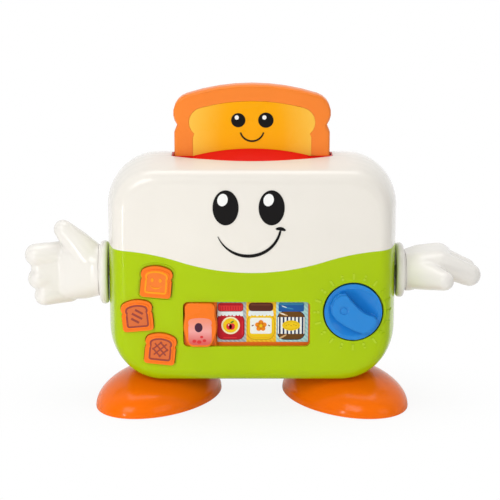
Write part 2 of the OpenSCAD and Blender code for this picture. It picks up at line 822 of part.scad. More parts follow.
module pointer_face() color("pink") slab_y(pointer_face_y - print_t, pointer_face_y)
    at_xz([pointer_x, pointer_low + 1.6]) polygon(slice(pointer_w * 0.72, pointer_h * 0.62, 3, 30, 4));

module pointer_wiper() color("dimgray")
    box([pointer_x - stem_half - 2, pointer_x + stem_half + 2], [wiper_y, wiper_y + wiper_t],
        [slit_low - 3, slit_high + 1]);

// ==== Push buttons ====

button_top_y = front_y - button_proud - 0.7;
motif_t = 0.3;
button_rim = 2.2;
band_in = 3.2;
band_t = 1.4;
band_lobe = 3.6;

// The raised band's outline: a smaller slice with lobes of its own, drawn in by a step
module band_outline(at, tilt, step = 0) at_xz(at, tilt) translate([0, band_in + step - button_h / 2])
    polygon(slice(button_w - 2 * (band_in + step), button_h - 2 * (band_in + step), band_lobe - step,
        button_w * 0.7 - step, 2 - step));

module push_button(at, tilt) difference() {
    union() {
        slab_y(front_y - button_proud, flange_y + 0.2) button_shape(at, tilt);
        slab_y(button_top_y, front_y - button_proud) button_shape(at, tilt, -button_rim);
        slab_y(button_top_y - motif_t, button_top_y + 0.1) difference() {
            band_outline(at, tilt);
            band_outline(at, tilt, band_t);
        }
        slab_y(flange_y, flange_y + flange_t) at_xz(at, tilt)
            square([ear_w, button_h + 2 * ear_out + 2 * slide_fit], center = true);
        rod_along_y(at, stem_r, flange_y, stem_end_y);
    }
    rod_along_y(at, stem_bore_r, board_y - dome_t - button_travel - 0.1, stem_end_y + 1);
}

module on_button(at, tilt) slab_y(button_top_y - motif_t, button_top_y + 0.1) at_xz(at, tilt) children();

// A band that bends upwards at both ends and thins towards them
module smile_band(half, sag, t) {
    r = (half * half + sag * sag) / (2 * sag);
    a = asin(min(1, half / r));
    outer = [for (i = [-10:10]) let (b = -90 + a * i / 10) [r * cos(b), r + r * sin(b)]];
    inner = [for (i = [10:-1:-10])
        let (b = -90 + a * i / 10, q = r - t * (1 - 0.8 * abs(i) / 10)) [q * cos(b), r + q * sin(b)]];
    polygon(concat(outer, inner));
}

module oval(w, h, n = 40)
    polygon([for (i = [0:n - 1]) [w / 2 * cos(360 * i / n), h / 2 * sin(360 * i / n)]]);

module smile_button() color("orange") {
    push_button(smile_at, smile_tilt);
    on_button(smile_at, smile_tilt) {
        for (m = [-1, 1]) translate([m * 2.9, 1.6]) oval(2.2, 3, 20);
        translate([0, -5]) smile_band(4.4, 2.8, 1.2);
    }
    slab_y(flange_y + flange_t, flange_y + flange_t + 2)
        translate([smile_at[0], pusher_at[1] - 3]) square([pusher_at[0] - smile_at[0] + pusher_r, 6]);
    slab_y(flange_y, flange_y + flange_t + 0.1)
        translate([smile_at[0], pusher_at[1] - 3]) square([stem_r, 6]);
    rod_along_y(pusher_at, pusher_r, flange_y + flange_t, board_back_y);
    rod_along_y(pusher_at, pusher_tip_r, board_back_y, latch_y - slide_fit);
}

module stripe_button() color("orange") {
    push_button(stripe_at, stripe_tilt);
    on_button(stripe_at, stripe_tilt) for (i = [-1:1])
        rotate(56) translate([i * 3.6, 0.4 * i]) square([1.7, 8.6 - 2 * abs(i)], center = true);
}

module waffle_button() color("orange") {
    push_button(waffle_at, waffle_tilt);
    on_button(waffle_at, waffle_tilt) for (turn = [45, 135], i = [-1:1])
        rotate(turn) translate([i * 3.6, 0]) square([1.2, 12.4 - 3.4 * abs(i)], center = true);
}

// ==== Board, lamp, speaker and switch ====

board_left = -side_x + 8;
board_right = 40;
board_low = body_lift + 18;
board_h = 69;
board_top = board_low + board_h;

module main_board() color("darkgreen") difference() {
    intersection() {
        box([board_left, board_right], [board_y, board_back_y], [board_low, board_top]);
        body_form(-wall - 0.6);
    }
    for (at = board_posts) rod_along_y(at, small_screw_r + 0.1, board_y - 1, board_back_y + 1);
    for (at = low_spots) rod_along_y(at, case_boss_r - 0.5, board_y - 1, board_back_y + 1);
    rod_along_y(pusher_at, pusher_r + 0.8, board_y - 1, board_back_y + 1);
}

module board_parts() color("black") {
    rod_along_y([-10, body_lift + 60], 7, board_back_y, board_back_y + 1.6);
    for (i = [0:3]) box([-40 + 8 * i, -36 + 8 * i], [board_back_y, board_back_y + 1.2],
        [body_lift + 34, body_lift + 36]);
    for (x = [14, 26]) rod_along_y([x, body_lift + 30], 3, board_back_y, board_back_y + 7);
    box([-76, -62], [board_back_y, board_back_y + 5], [body_lift + 66, body_lift + 72]);
}

module button_domes() color("white")
    for (at = [smile_at, stripe_at, waffle_at]) rod_along_y(at, dome_r, board_y - dome_t, board_y);

lamp_y = -(chute_y + chute_wall);
lamp_z = insert_z - 14;

module slot_lamp() color("white") {
    box([-7, 7], [lamp_y - 1.2, lamp_y], [lamp_z, lamp_z + 10]);
    rod_along_z(0, lamp_y - 3.5, 2.4, lamp_z + 3, lamp_z + 11);
}

module speaker() color("gray") {
    rod_along_y(speaker_at, speaker_r, rear_in - speaker_t, rear_in);
    rod_along_y(speaker_at, speaker_r - 3, rear_in - 7, rear_in - speaker_t);
    rod_along_y(speaker_at, speaker_r / 2, rear_in - 12, rear_in - 7);
}

module speaker_clamp() color("dimgray") slab_y(rear_in - speaker_t - 1.4, rear_in - speaker_t)
    at_xz(speaker_at) ring(speaker_r + 0.3 + speaker_rib, speaker_r - 2);

switch_leg = switch_travel / 2 + switch_w / 2 + 4.5;

module switch_body() color("black") {
    box([switch_at[0] - switch_leg - 2, switch_at[0] + switch_leg + 2], [rear_in - 8, rear_in - 3.2],
        [switch_at[1] - 5, switch_at[1] + 5]);
    for (m = [-1, 1]) translate([switch_at[0] + m * (switch_leg + 1), 0, 0])
        box([-1, 1], [rear_in - 4, rear_in], [switch_at[1] - 5, switch_at[1] + 5]);
}

module power_knob() color("black") translate([switch_at[0] - switch_travel / 2, 0, switch_at[1]]) {
    box([-switch_w / 2, switch_w / 2], [rear_in - 1, rear_y + 1.4], [-switch_h / 2, switch_h / 2]);
    box([-switch_w / 2 - 3, switch_w / 2 + 3], [rear_in - 2.2, rear_in - 0.3],
        [-switch_h / 2 - 1.5, switch_h / 2 + 1.5]);
    box([-1.5, 1.5], [rear_in - 2.9, rear_in - 2], [-1.5, 1.5]);
}

// ==== Batteries ====

box_front = rear_in - box_d;
cell_y = box_front + box_wall + cell_r + 0.2;
cell_rows = [-1, 0, 1];

module battery_box() color("darkslategray") {
    difference() {
        slab_y(box_front, rear_in) at_xz([0, battery_z]) plate(box_w, box_h, 2);
        slab_y(box_front + box_wall, rear_in + 1) at_xz([0, battery_z])
            plate(box_w - 2 * box_wall, box_h - 2 * box_wall, 1);
    }
    for (m = [-1, 1]) translate([0, 0, battery_z + m * cell_pitch / 2])
        box([-16, 16], [box_front + box_wall - 0.2, cell_y], [-0.5, 0.5]);
}

cap_r = 2.6;

module battery_cells() color("gold") for (i = cell_rows) mirror([i == 0 ? 1 : 0, 0, 0]) {
    rod_along_x(cell_y, battery_z + i * cell_pitch, cell_r, -cell_len / 2, cell_len / 2 - 1);
    rod_along_x(cell_y, battery_z + i * cell_pitch, cap_r, cell_len / 2 - 1, cell_len / 2);
}

contact_x = box_w / 2 - box_wall;

module battery_contacts() color("silver") for (i = cell_rows, m = [0, 1]) mirror([m, 0, 0])
    translate([0, 0, battery_z + i * cell_pitch]) {
        box([contact_x - 0.4, contact_x], [cell_y - 5, cell_y + 5], [-5, 5]);
        rod_along_x(cell_y, 0, cap_r, cell_len / 2 + seat_fit, contact_x - 0.3);
    }

module battery_door() color("yellowgreen") difference() {
    union() {
        slab_y(rear_y - door_t, rear_y) at_xz([0, door_z]) plate(door_w, door_h, 4 - seat_fit);
        slab_y(rear_y - door_t - 1.4, rear_y - door_t) for (x = [-20:8:20])
            at_xz([x, battery_z]) square([1.2, open_h - 8], center = true);
    }
    rod_along_y(door_screw_at, screw_r + 0.1, rear_in - 4, rear_y + 1);
}

module door_screw() color("silver") {
    rod_along_y(door_screw_at, screw_head_r, rear_y, rear_y + 1.2);
    rod_along_y(door_screw_at, screw_r, rear_in - 7, rear_y);
}

// ==== Toast ====

toast_bevel = 1.8;
toast_cz = (toast_top + toast_low) / 2;
panel_h = toast_h - panel_drop - panel_low;
peg_drop = 24;
toast_pegs = [[-toast_w * 0.3, toast_cz - 10], [toast_w * 0.3, toast_cz - 10], [0, toast_top - peg_drop]];
peg_r = 2;
foot_peg_x = toast_w * 0.26;
foot_peg_h = 8;
foot_peg_bore = peg_r + 0.05;

// The slice's outline, centred, drawn in by a parallel step
module toast_outline(step = 0) translate([0, step - toast_h / 2])
    polygon(slice(toast_w - 2 * step, toast_h - 2 * step, lobe_r - step, arch_r - step, 5));

module panel_outline(grow = 0) translate([0, toast_low + panel_low - grow])
    polygon(slice(panel_w + 2 * grow, panel_h + 2 * grow, lobe_r - 3 + grow,
        arch_r - panel_drop + grow, 5, waist = 50, narrow = 0.26));

// The front half; the rear half is its mirror image
module toast_half() difference() {
    union() {
        slab_y(toast_bevel - toast_t / 2, 0) translate([0, toast_cz]) toast_outline();
        translate([0, toast_bevel - toast_t / 2, toast_cz]) rotate([90, 0, 0])
            linear_extrude(toast_bevel, scale = [1, 1] - 2 * toast_bevel * [1 / toast_w, 1 / toast_h])
                toast_outline();
    }
    difference() {
        slab_y(toast_wall + 1 - toast_t / 2, 1) translate([0, toast_cz]) toast_outline(toast_wall);
        for (m = [-1, 1]) translate([m * foot_peg_x, 0, 0])
            box([-4, 4], [-toast_t, toast_t], [toast_low, toast_low + foot_peg_h + 2]);
        for (at = toast_pegs) rod_along_y(at, peg_r + 1.5, -toast_t / 2, 1);
    }
    slab_y(-toast_t, panel_t - toast_t / 2) panel_outline(seat_fit);
    for (m = [-1, 1])
        rod_along_z(m * foot_peg_x, 0, foot_peg_bore, toast_low - 1, toast_low + foot_peg_h + 0.5);
}

module toast_front_shell() color("sandybrown") difference() {
    toast_half();
    for (at = toast_pegs) rod_along_y(at, peg_r + 0.05, -3.5, 1);
}

module toast_rear_shell() color("sandybrown") union() {
    mirror([0, 1, 0]) toast_half();
    for (at = toast_pegs) rod_along_y(at, peg_r, -3, 0.5);
}

module toast_front_panel() color("gold") slab_y(-toast_t / 2, panel_t - toast_t / 2) panel_outline();
module toast_rear_panel() color("gold") slab_y(toast_t / 2 - panel_t, toast_t / 2) panel_outline();

module toast_face() color("black") slab_y(-toast_t / 2 - print_t, -toast_t / 2) {
    for (m = [-1, 1]) at_xz([m * 10.1, toast_top - 25.8]) circle(5.3, $fn = 48);
    at_xz([0, toast_top - 42]) smile_band(8.8, 6.4, 1.2);
}

module toast_carriage() color("white") difference() {
    union() {
        box([6 - toast_w / 2, toast_w / 2 - 6], [-toast_t / 2, toast_t / 2], [carriage_z, carriage_top]);
        for (m = [-1, 1]) {
            translate([m * rod_x, 0, 0]) box([-5, 5], [0, rod_y_at], [carriage_z, carriage_top]);
            rod_along_z(m * rod_x, rod_y_at, sleeve_r, sleeve_low, carriage_top + 1);
            rod_along_z(m * foot_peg_x, 0, peg_r, carriage_top - 1, carriage_top + foot_peg_h);
        }
        translate([latch_x, 0, 0])
            box([-latch_w / 2, latch_w / 2], [catch_y, 0], [carriage_z, carriage_top]);
    }
    for (m = [-1, 1]) rod_along_z(m * rod_x, rod_y_at, rod_r + run_fit, sleeve_low - 1, carriage_top + 2);
}

// ==== Lift rods and springs ====

rod_low = bracket_z + 1;

module rod_bracket() color("dimgray") difference() {
    union() {
        box([-rod_x - 6, rod_x + 6], [bracket_seat_y - 3.5, bracket_seat_y + bracket_arm_t],
            [bracket_z, bracket_z + bracket_t]);
        for (m = [-1, 1]) rod_along_z(m * rod_x, rod_y_at, sleeve_r + 1, bracket_z, bracket_z + bracket_t);
    }
    for (m = [-1, 1]) rod_along_z(m * rod_x, rod_y_at, rod_r + 0.05, rod_low, bracket_z + bracket_t + 1);
    for (at = bracket_posts) {
        rod_along_y(at, screw_r + 0.1, 0, rear_y);
        rod_along_y(at, screw_head_r + 0.3, 0, bracket_seat_y);
    }
}

module guide_rods() color("silver") for (m = [-1, 1])
    rod_along_z(m * rod_x, rod_y_at, rod_r, rod_low, insert_z - 1);

spring_wire_r = spring_wire / 2;
spring_steps = spring_turns * 12;

module lift_spring(side) color("silver") tube([for (i = [0:spring_steps]) let (a = i * 30)
    [side * rod_x + spring_r * cos(a), rod_y_at + spring_r * sin(a),
        spring_fixed_z + spring_wire_r + i / spring_steps * (sleeve_low - spring_fixed_z - spring_wire)]],
    spring_wire_r);

module left_spring() lift_spring(-1);
module right_spring() lift_spring(1);

// ==== Latch ====

latch_pivot_y = latch_y + latch_t / 2;
lever_low = latch_pivot_z - 12;
lever_top = max(catch_top, latch_pivot_z) + 4;

module latch_lever() color("white") difference() {
    union() {
        translate([latch_x, 0, 0]) {
            box([-latch_w / 2, latch_w / 2], [latch_y, latch_y + latch_t], [lever_low, lever_top]);
            box([-latch_w / 2, latch_w / 2], [latch_y, catch_y - 0.3], [catch_top + 0.3, lever_top]);
        }
        rod_along_x(latch_pivot_y, latch_pivot_z, 3, latch_x - latch_w / 2, latch_x + latch_w / 2);
    }
    rod_along_x(latch_pivot_y, latch_pivot_z, latch_pin_r + run_fit, latch_x - latch_w, latch_x + latch_w);
}

latch_pin_half = latch_w / 2 + 3.2;

module latch_pin() color("silver") translate([latch_x, 0, 0])
    rod_along_x(latch_pivot_y, latch_pivot_z, latch_pin_r, -latch_pin_half, latch_pin_half);

module click_springs() color("silver") {
    for (m = [0, 1]) mirror([m, 0, 0]) translate([leaf_x, 0, hand_cz + leaf_low + bump_r]) {
        box([-1.5, 1.5], [-leaf_half, 3], [0, leaf_t]);
        rod_along_x(0, 0, bump_r, -1.5, 1.5);
    }
    translate([dial_x, 0, dial_cz + dial_leaf_low + bump_r]) {
        box([-leaf_half, 3], [dial_star_y, dial_star_y + star_t], [0, leaf_t]);
        rod_along_y([0, 0], bump_r, dial_star_y, dial_star_y + star_t);
    }
}

// ==== Dial ====

stub_r = 2.6;
core_r = screw_r + 0.05;
dial_back_y = cup_floor_y - 0.4;
dish_r = dial_r - 2.6;
dish_drop = 4.5;
dish_sphere_r = (dish_r * dish_r + dish_drop * dish_drop) / (2 * dish_drop);
// The grip's outline as parts of the dial's radius, a broad tongue from the upper left to the lower right
grip_pts = [[-0.27, 0.70], [-0.12, 0.50], [0.06, 0.30], [0.20, 0.16], [0.36, 0.04], [0.55, -0.05],
    [0.74, -0.12], [0.84, -0.22], [0.84, -0.36], [0.76, -0.52], [0.60, -0.67], [0.38, -0.74], [0.06, -0.64],
    [-0.30, -0.44], [-0.58, -0.24], [-0.76, 0.00], [-0.80, 0.28], [-0.68, 0.54], [-0.48, 0.70]];
grip_top_y = front_y - grip_proud;
module grip(size) at_xz(at_dial) polygon(dial_r * size * grip_pts);

module dial_knob() color("steelblue") difference() {
    union() {
        difference() {
            rod_along_y(at_dial, dial_r, dial_face_y, dial_back_y);
            translate([dial_x, dial_face_y + dish_drop - dish_sphere_r, dial_cz])
                sphere(dish_sphere_r, $fn = 120);
            slab_y(dial_back_y - 2, dial_back_y + 1) at_xz(at_dial) ring(dial_r - 2.4, shaft_r + 3);
        }
        slab_y(grip_top_y + 1.2, dial_back_y - 4) grip(1);
        slab_y(grip_top_y, grip_top_y + 1.2) grip(0.93);
        rod_along_y(at_dial, shaft_r, dial_back_y - 1, dial_star_y);
        rod_along_y(at_dial, stub_r, dial_star_y - 1, dial_star_y + star_t);
    }
    slab_y(grip_top_y - 1, grip_top_y + 0.6) at_xz(at_dial) translate(dial_r * [-0.33, 0.13]) ring(3.2, 2);
    rod_along_y(at_dial, core_r, dial_back_y - 1, dial_star_y + star_t + 1);
}

module star_wheel(r) difference() {
    polygon(star_pts(r));
    circle(stub_r + 0.05, $fn = 48);
}

module dial_star() color("white")
    slab_y(dial_star_y, dial_star_y + star_t) at_xz(at_dial) star_wheel(dial_star_r);

module dial_screw() color("silver") screw_y(at_dial, dial_star_y + star_t, 9, screw_head_r, screw_r);

// ==== Hands ====

cuff_bevel = 1.2;
key_r = 6;
key_len = 8;
star_end_x = hand_star_x - star_t;
hand_screw_len = 12;

// A hand is built pointing along +X, its thumb towards +Z and its palm towards -Y
module left_place() translate([0, 0, hand_cz]) mirror([1, 0, 0]) children();
module right_place() translate([0, 0, hand_cz]) rotate([right_turn, 0, 0]) children();

// A flat outline given as [depth, height], from x0 to x1
module slab_x(x0, x1) translate([x0, 0, 0]) rotate([90, 0, 90]) linear_extrude(x1 - x0) children();

module cuff_oval(shrink) translate([0, -cuff_low]) oval(cuff_deep - 2 * shrink, cuff_high - 2 * shrink, 36);

module cuff() difference() {
    union() {
        hull() {
            slab_x(cuff_x, cuff_x + rim_t) cuff_oval(cuff_bevel);
            slab_x(cuff_x + cuff_bevel, cuff_x + rim_t - cuff_bevel) cuff_oval(0);
        }
        slab_x(cuff_x + rim_t - 0.5, glove_x) oval(2 * wrist_r - 3, 2 * (wrist_r + wrist_off) - 3, 36);
        rod_along_x(0, 0, key_r, glove_x - 0.5, glove_x + key_len);
        rod_along_x(0, 0, shaft_r, hand_star_x, cuff_x + 1);
        rod_along_x(0, 0, stub_r, star_end_x, hand_star_x + 1);
    }
    rod_along_x(0, 0, core_r, star_end_x - 1, star_end_x + hand_screw_len + 1);
}

module ball(at, r) translate(at) sphere(r, $fn = 28);

module finger(at, r, tip, tip_r) hull() {
    ball(at, r);
    ball(tip, tip_r);
}

module glove() translate([glove_x, 0, 0]) difference() {
    union() {
        hull() {
            for (m = [-1, 1]) rod_along_x(0, m * wrist_off, wrist_r, 0, 1);
            ball([14, 4, 10], 13);
            ball([25, 6.5, 9], 11.5);
            ball([26, 6.5, -13], 11.5);
            ball([12, 4, -10], 13);
        }
        finger([25, 8, 11], 9.8, [47.5, -0.5, 12], 8.6);
        finger([25, 8, -5], 9.3, [46, -0.5, -6.4], 8.3);
        finger([24, 7.5, -18], 8.8, [42, -0.5, -19.5], 7.8);
        finger([7, 1, 8], 13.4, [16, 0.5, 19.5], 10.6);
        finger([16, 0.5, 19.5], 10.6, [26.7, 0, 31.6], 7.3);
        hull() {
            ball([25, 6, 4], 9);
            ball([45.5, -0.5, 2.4], 6.2);
            ball([24, 6, -12], 8.5);
            ball([41.5, -0.5, -12.4], 6);
        }
    }
    rod_along_x(0, 0, key_r + 0.1, -1, key_len + 0.2);
    box([-far, 0], [-far, far], [-far, far]);
}

module star() slab_x(star_end_x, hand_star_x) star_wheel(hand_star_r);

module hand_screw() {
    rod_along_x(0, 0, screw_head_r, star_end_x - screw_head_t, star_end_x);
    rod_along_x(0, 0, screw_r, star_end_x, star_end_x + hand_screw_len);
}

module left_cuff() color("ivory") left_place() cuff();
module left_glove() color("ivory") left_place() glove();
module left_star() color("white") left_place() star();
module left_hand_screw() color("silver") left_place() hand_screw();
module right_cuff() color("ivory") right_place() cuff();
module right_glove() color("ivory") right_place() glove();
module right_star() color("white") right_place() star();
module right_hand_screw() color("silver") right_place() hand_screw();

// ==== Printed face ====

module face_inlay() color("black") slab_y(front_y - face_t, front_y) {
    for (m = [-1, 1]) at_xz([face_x + m * eye_gap, eye_z]) oval(eye_w, eye_h);
    at_xz([face_x, smile_low]) smile_band(smile_half, smile_sag, smile_t);
}

// ==== Wires ====

wire_r = 0.7;
wire_end = 1.5;
wire_lead = 15;

// A smooth run from a to d, leaving a towards b and reaching d from c
function bend(a, b, c, d) = [for (i = [0:10]) let (t = i / 10, q = 1 - t)
    q * q * q * a + 3 * q * q * t * b + 3 * q * t * t * c + t * t * t * d];

// The same with a short straight end at each side, square to what it meets
function run(a, b, c, d) =
    concat([a], bend(a + wire_end * unit(b - a), b, c, d + wire_end * unit(c - d)), [d]);

// One pair of wires along a run, side by side in X
module pair(a, b, c, d) for (m = [-1, 1])
    tube([for (q = run(a, b, c, d)) q + [2 * m, 0, 0]], wire_r);

// Wires that leave a face at the rear and reach the board, both square to them
module board_wires(a, d) {
    end = [d[0], board_back_y, d[1]];
    pair(a, a - [0, wire_lead, 0], end + [0, wire_lead, 0], end);
}

module wiring() color("red") {
    board_wires([-20, box_front, battery_z - 8], [-12, body_lift + 42]);
    board_wires([speaker_at[0] + speaker_r * 2 / 3, rear_in - 7, speaker_at[1]], [-58, body_lift + 40]);
    board_wires([switch_at[0] - 4, rear_in - 8, switch_at[1] - 2], [35, body_lift + 40]);
    board_wires([0, lamp_y - 1.2, lamp_z + 1.5], [-28, board_top - 6]);
}

// ==== Every piece in its place ====

front_upper_shell();
front_lower_shell();
rear_upper_shell();
rear_lower_shell();
slot_insert();
left_foot();
right_foot();
left_sole();
right_sole();
foot_screws();
case_screws();
inner_screws();
picture_tray();
picture_card();
jar_pictures();
face_inlay();
battery_box();
battery_cells();
battery_contacts();
battery_door();
door_screw();
speaker();
speaker_clamp();
main_board();
board_parts();
button_domes();
slot_lamp();
switch_body();
wiring();
rod_bracket();
guide_rods();
left_spring();
right_spring();
latch_pin();
click_springs();
toast_front_shell();
toast_rear_shell();
toast_front_panel();
toast_rear_panel();
toast_face();
toast_carriage();
smile_button();
stripe_button();
waffle_button();
latch_lever();
pointer_knob();
pointer_face();
pointer_wiper();
dial_knob();
dial_star();
dial_screw();
left_cuff();
left_glove();
left_star();
left_hand_screw();
right_cuff();
right_glove();
right_star();
right_hand_screw();
power_knob();
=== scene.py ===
import math

import bmesh
import bpy
from mathutils import Matrix, Vector


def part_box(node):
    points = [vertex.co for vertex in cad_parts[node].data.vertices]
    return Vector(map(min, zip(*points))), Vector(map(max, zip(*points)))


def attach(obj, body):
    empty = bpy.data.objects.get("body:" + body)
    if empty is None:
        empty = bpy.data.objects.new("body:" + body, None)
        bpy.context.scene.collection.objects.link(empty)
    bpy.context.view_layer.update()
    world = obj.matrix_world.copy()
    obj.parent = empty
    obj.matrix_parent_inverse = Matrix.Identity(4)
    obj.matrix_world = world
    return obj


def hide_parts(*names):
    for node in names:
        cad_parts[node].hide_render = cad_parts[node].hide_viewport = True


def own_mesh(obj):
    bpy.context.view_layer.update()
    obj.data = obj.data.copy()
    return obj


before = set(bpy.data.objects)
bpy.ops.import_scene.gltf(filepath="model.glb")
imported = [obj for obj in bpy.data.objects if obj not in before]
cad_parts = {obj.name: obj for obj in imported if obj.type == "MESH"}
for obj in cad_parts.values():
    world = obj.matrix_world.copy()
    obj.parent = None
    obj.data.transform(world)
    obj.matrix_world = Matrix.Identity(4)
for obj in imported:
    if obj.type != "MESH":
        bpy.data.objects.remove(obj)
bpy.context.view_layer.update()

# ---- Table top, studio light and camera ----
# A plain white table top that fades into a white background, with one large soft box in front on
# the left, a small low one by the toy's left edge, a soft fill on the right and one overhead.
aim = Vector((-0.0015, 0, 0.1155))
camera_distance = 1.25
camera_tilt = math.radians(14)
camera_back = Vector((0, -math.cos(camera_tilt), math.sin(camera_tilt)))
camera = bpy.data.objects.new("camera", bpy.data.cameras.new("camera"))
bpy.context.scene.collection.objects.link(camera)
camera.data.lens = 120
camera.data.sensor_width = 36
camera.location = aim + camera_back * camera_distance
camera.rotation_euler = (-camera_back).to_track_quat("-Z", "Y").to_euler()
bpy.context.scene.camera = camera
bpy.context.scene.view_settings.view_transform = "Standard"


def soft_box(name, place, width, height, watts):
    """An area lamp that faces the toy."""
    lamp = bpy.data.lights.new(name, "AREA")
    lamp.shape = "RECTANGLE"
    lamp.size = width
    lamp.size_y = height
    lamp.energy = watts
    holder = bpy.data.objects.new(name, lamp)
    bpy.context.scene.collection.objects.link(holder)
    holder.location = place
    holder.rotation_euler = (aim - Vector(place)).to_track_quat("-Z", "Y").to_euler()


soft_box("key_box", (-0.75, -1.5, 1.15), 0.9, 0.9, 12)
soft_box("edge_box", (-0.30, -0.40, 0.06), 0.03, 0.11, 0.3)
soft_box("fill_box", (1.3, -1.2, 0.7), 0.9, 0.9, 2.8)
soft_box("top_box", (0, 0.1, 1.6), 1.2, 0.8, 8)

world = bpy.data.worlds.new("studio")
bpy.context.scene.world = world
world.use_nodes = True
sky = world.node_tree.nodes
sky_links = world.node_tree.links
sky["Background"].inputs["Color"].default_value = (1, 1, 1, 1)
# Mirrored rays meet the white background behind the toy and a dim room in front of it.
rays = sky.new("ShaderNodeLightPath")
gaze = sky.new("ShaderNodeNewGeometry")
gaze_split = sky.new("ShaderNodeSeparateXYZ")
room_level = sky.new("ShaderNodeMapRange")
room_level.inputs["From Min"].default_value = -0.25
room_level.inputs["From Max"].default_value = 0.35
room_level.inputs["To Min"].default_value = 1.0
room_level.inputs["To Max"].default_value = 0.1
mirrored = sky.new("ShaderNodeMath")
mirrored.operation = "MAXIMUM"
soft_level = sky.new("ShaderNodeMapRange")
soft_level.inputs["To Min"].default_value = 0.42
sky_level = sky.new("ShaderNodeMapRange")
sky_level.inputs["To Max"].default_value = 1.0
sky_links.new(gaze.outputs["Incoming"], gaze_split.inputs[0])
sky_links.new(gaze_split.outputs["Y"], room_level.inputs["Value"])
sky_links.new(rays.outputs["Is Glossy Ray"], mirrored.inputs[0])
sky_links.new(rays.outputs["Is Transmission Ray"], mirrored.inputs[1])
sky_links.new(mirrored.outputs[0], soft_level.inputs["Value"])
sky_links.new(room_level.outputs["Result"], soft_level.inputs["To Max"])
sky_links.new(rays.outputs["Is Camera Ray"], sky_level.inputs["Value"])
sky_links.new(soft_level.outputs["Result"], sky_level.inputs["To Min"])
sky_links.new(sky_level.outputs["Result"], sky["Background"].inputs["Strength"])

table_form = bmesh.new()
bmesh.ops.create_grid(table_form, x_segments=1, y_segments=1, size=4)
table_mesh = bpy.data.meshes.new("table_top")
table_form.to_mesh(table_mesh)
table_top = bpy.data.objects.new("table_top", table_mesh)
bpy.context.scene.collection.objects.link(table_top)
table_paint = bpy.data.materials.new("table_paint")
table_paint.use_nodes = True
paint = table_paint.node_tree.nodes
paint_links = table_paint.node_tree.links
paint["Principled BSDF"].inputs["Base Color"].default_value = (0.93, 0.93, 0.93, 1)
paint["Principled BSDF"].inputs["Roughness"].default_value = 0.7
# Seen by the camera, and behind the toy in a mirror, the table fades to the white background.
table_rays = paint.new("ShaderNodeLightPath")
table_seen = paint.new("ShaderNodeMath")
table_seen.operation = "MULTIPLY_ADD"
table_split = paint.new("ShaderNodeSeparateXYZ")
table_behind = paint.new("ShaderNodeMapRange")
table_behind.inputs["From Min"].default_value = -0.05
table_behind.inputs["From Max"].default_value = 0.15
table_place = paint.new("ShaderNodeTexCoord")
table_stretch = paint.new("ShaderNodeMapping")
table_stretch.inputs["Scale"].default_value = (0.8, 1.5, 1)
table_reach = paint.new("ShaderNodeVectorMath")
table_reach.operation = "LENGTH"
table_fade = paint.new("ShaderNodeMapRange")
table_fade.interpolation_type = "SMOOTHSTEP"
table_fade.inputs["From Min"].default_value = 0.05
table_fade.inputs["From Max"].default_value = 0.19
table_fade.inputs["To Min"].default_value = 0.87
table_fade.inputs["To Max"].default_value = 1.0
table_share = paint.new("ShaderNodeMath")
table_share.operation = "MULTIPLY"
table_white = paint.new("ShaderNodeEmission")
table_white.inputs["Color"].default_value = (1, 1, 1, 1)
table_mix = paint.new("ShaderNodeMixShader")
paint_links.new(table_place.outputs["Object"], table_split.inputs[0])
paint_links.new(table_split.outputs["Y"], table_behind.inputs["Value"])
paint_links.new(table_rays.outputs["Is Glossy Ray"], table_seen.inputs[0])
paint_links.new(table_behind.outputs["Result"], table_seen.inputs[1])
paint_links.new(table_rays.outputs["Is Camera Ray"], table_seen.inputs[2])
paint_links.new(table_place.outputs["Object"], table_stretch.inputs["Vector"])
paint_links.new(table_stretch.outputs["Vector"], table_reach.inputs[0])
paint_links.new(table_reach.outputs["Value"], table_fade.inputs["Value"])
paint_links.new(table_fade.outputs["Result"], table_share.inputs[0])
paint_links.new(table_seen.outputs[0], table_share.inputs[1])
paint_links.new(table_share.outputs[0], table_mix.inputs["Fac"])
paint_links.new(paint["Principled BSDF"].outputs[0], table_mix.inputs[1])
paint_links.new(table_white.outputs[0], table_mix.inputs[2])
paint_links.new(table_mix.outputs[0], paint["Material Output"].inputs["Surface"])
table_top.data.materials.append(table_paint)


# ---- Body: four shells in glossy moulded plastic ----
# Front and rear halves, white above and green below, meet in a wavy join. They are thin
# injection mouldings, held by screws from the rear, with fine flow marks and a soft gloss.
shell_white = (0.86, 0.82, 0.75)
shell_green = (0.42, 0.60, 0.002)
# A paler green for the tops of the dial's raised marks, standing in for their highlight: painted highlight.
painted_highlight_green = (0.50, 0.68, 0.025)


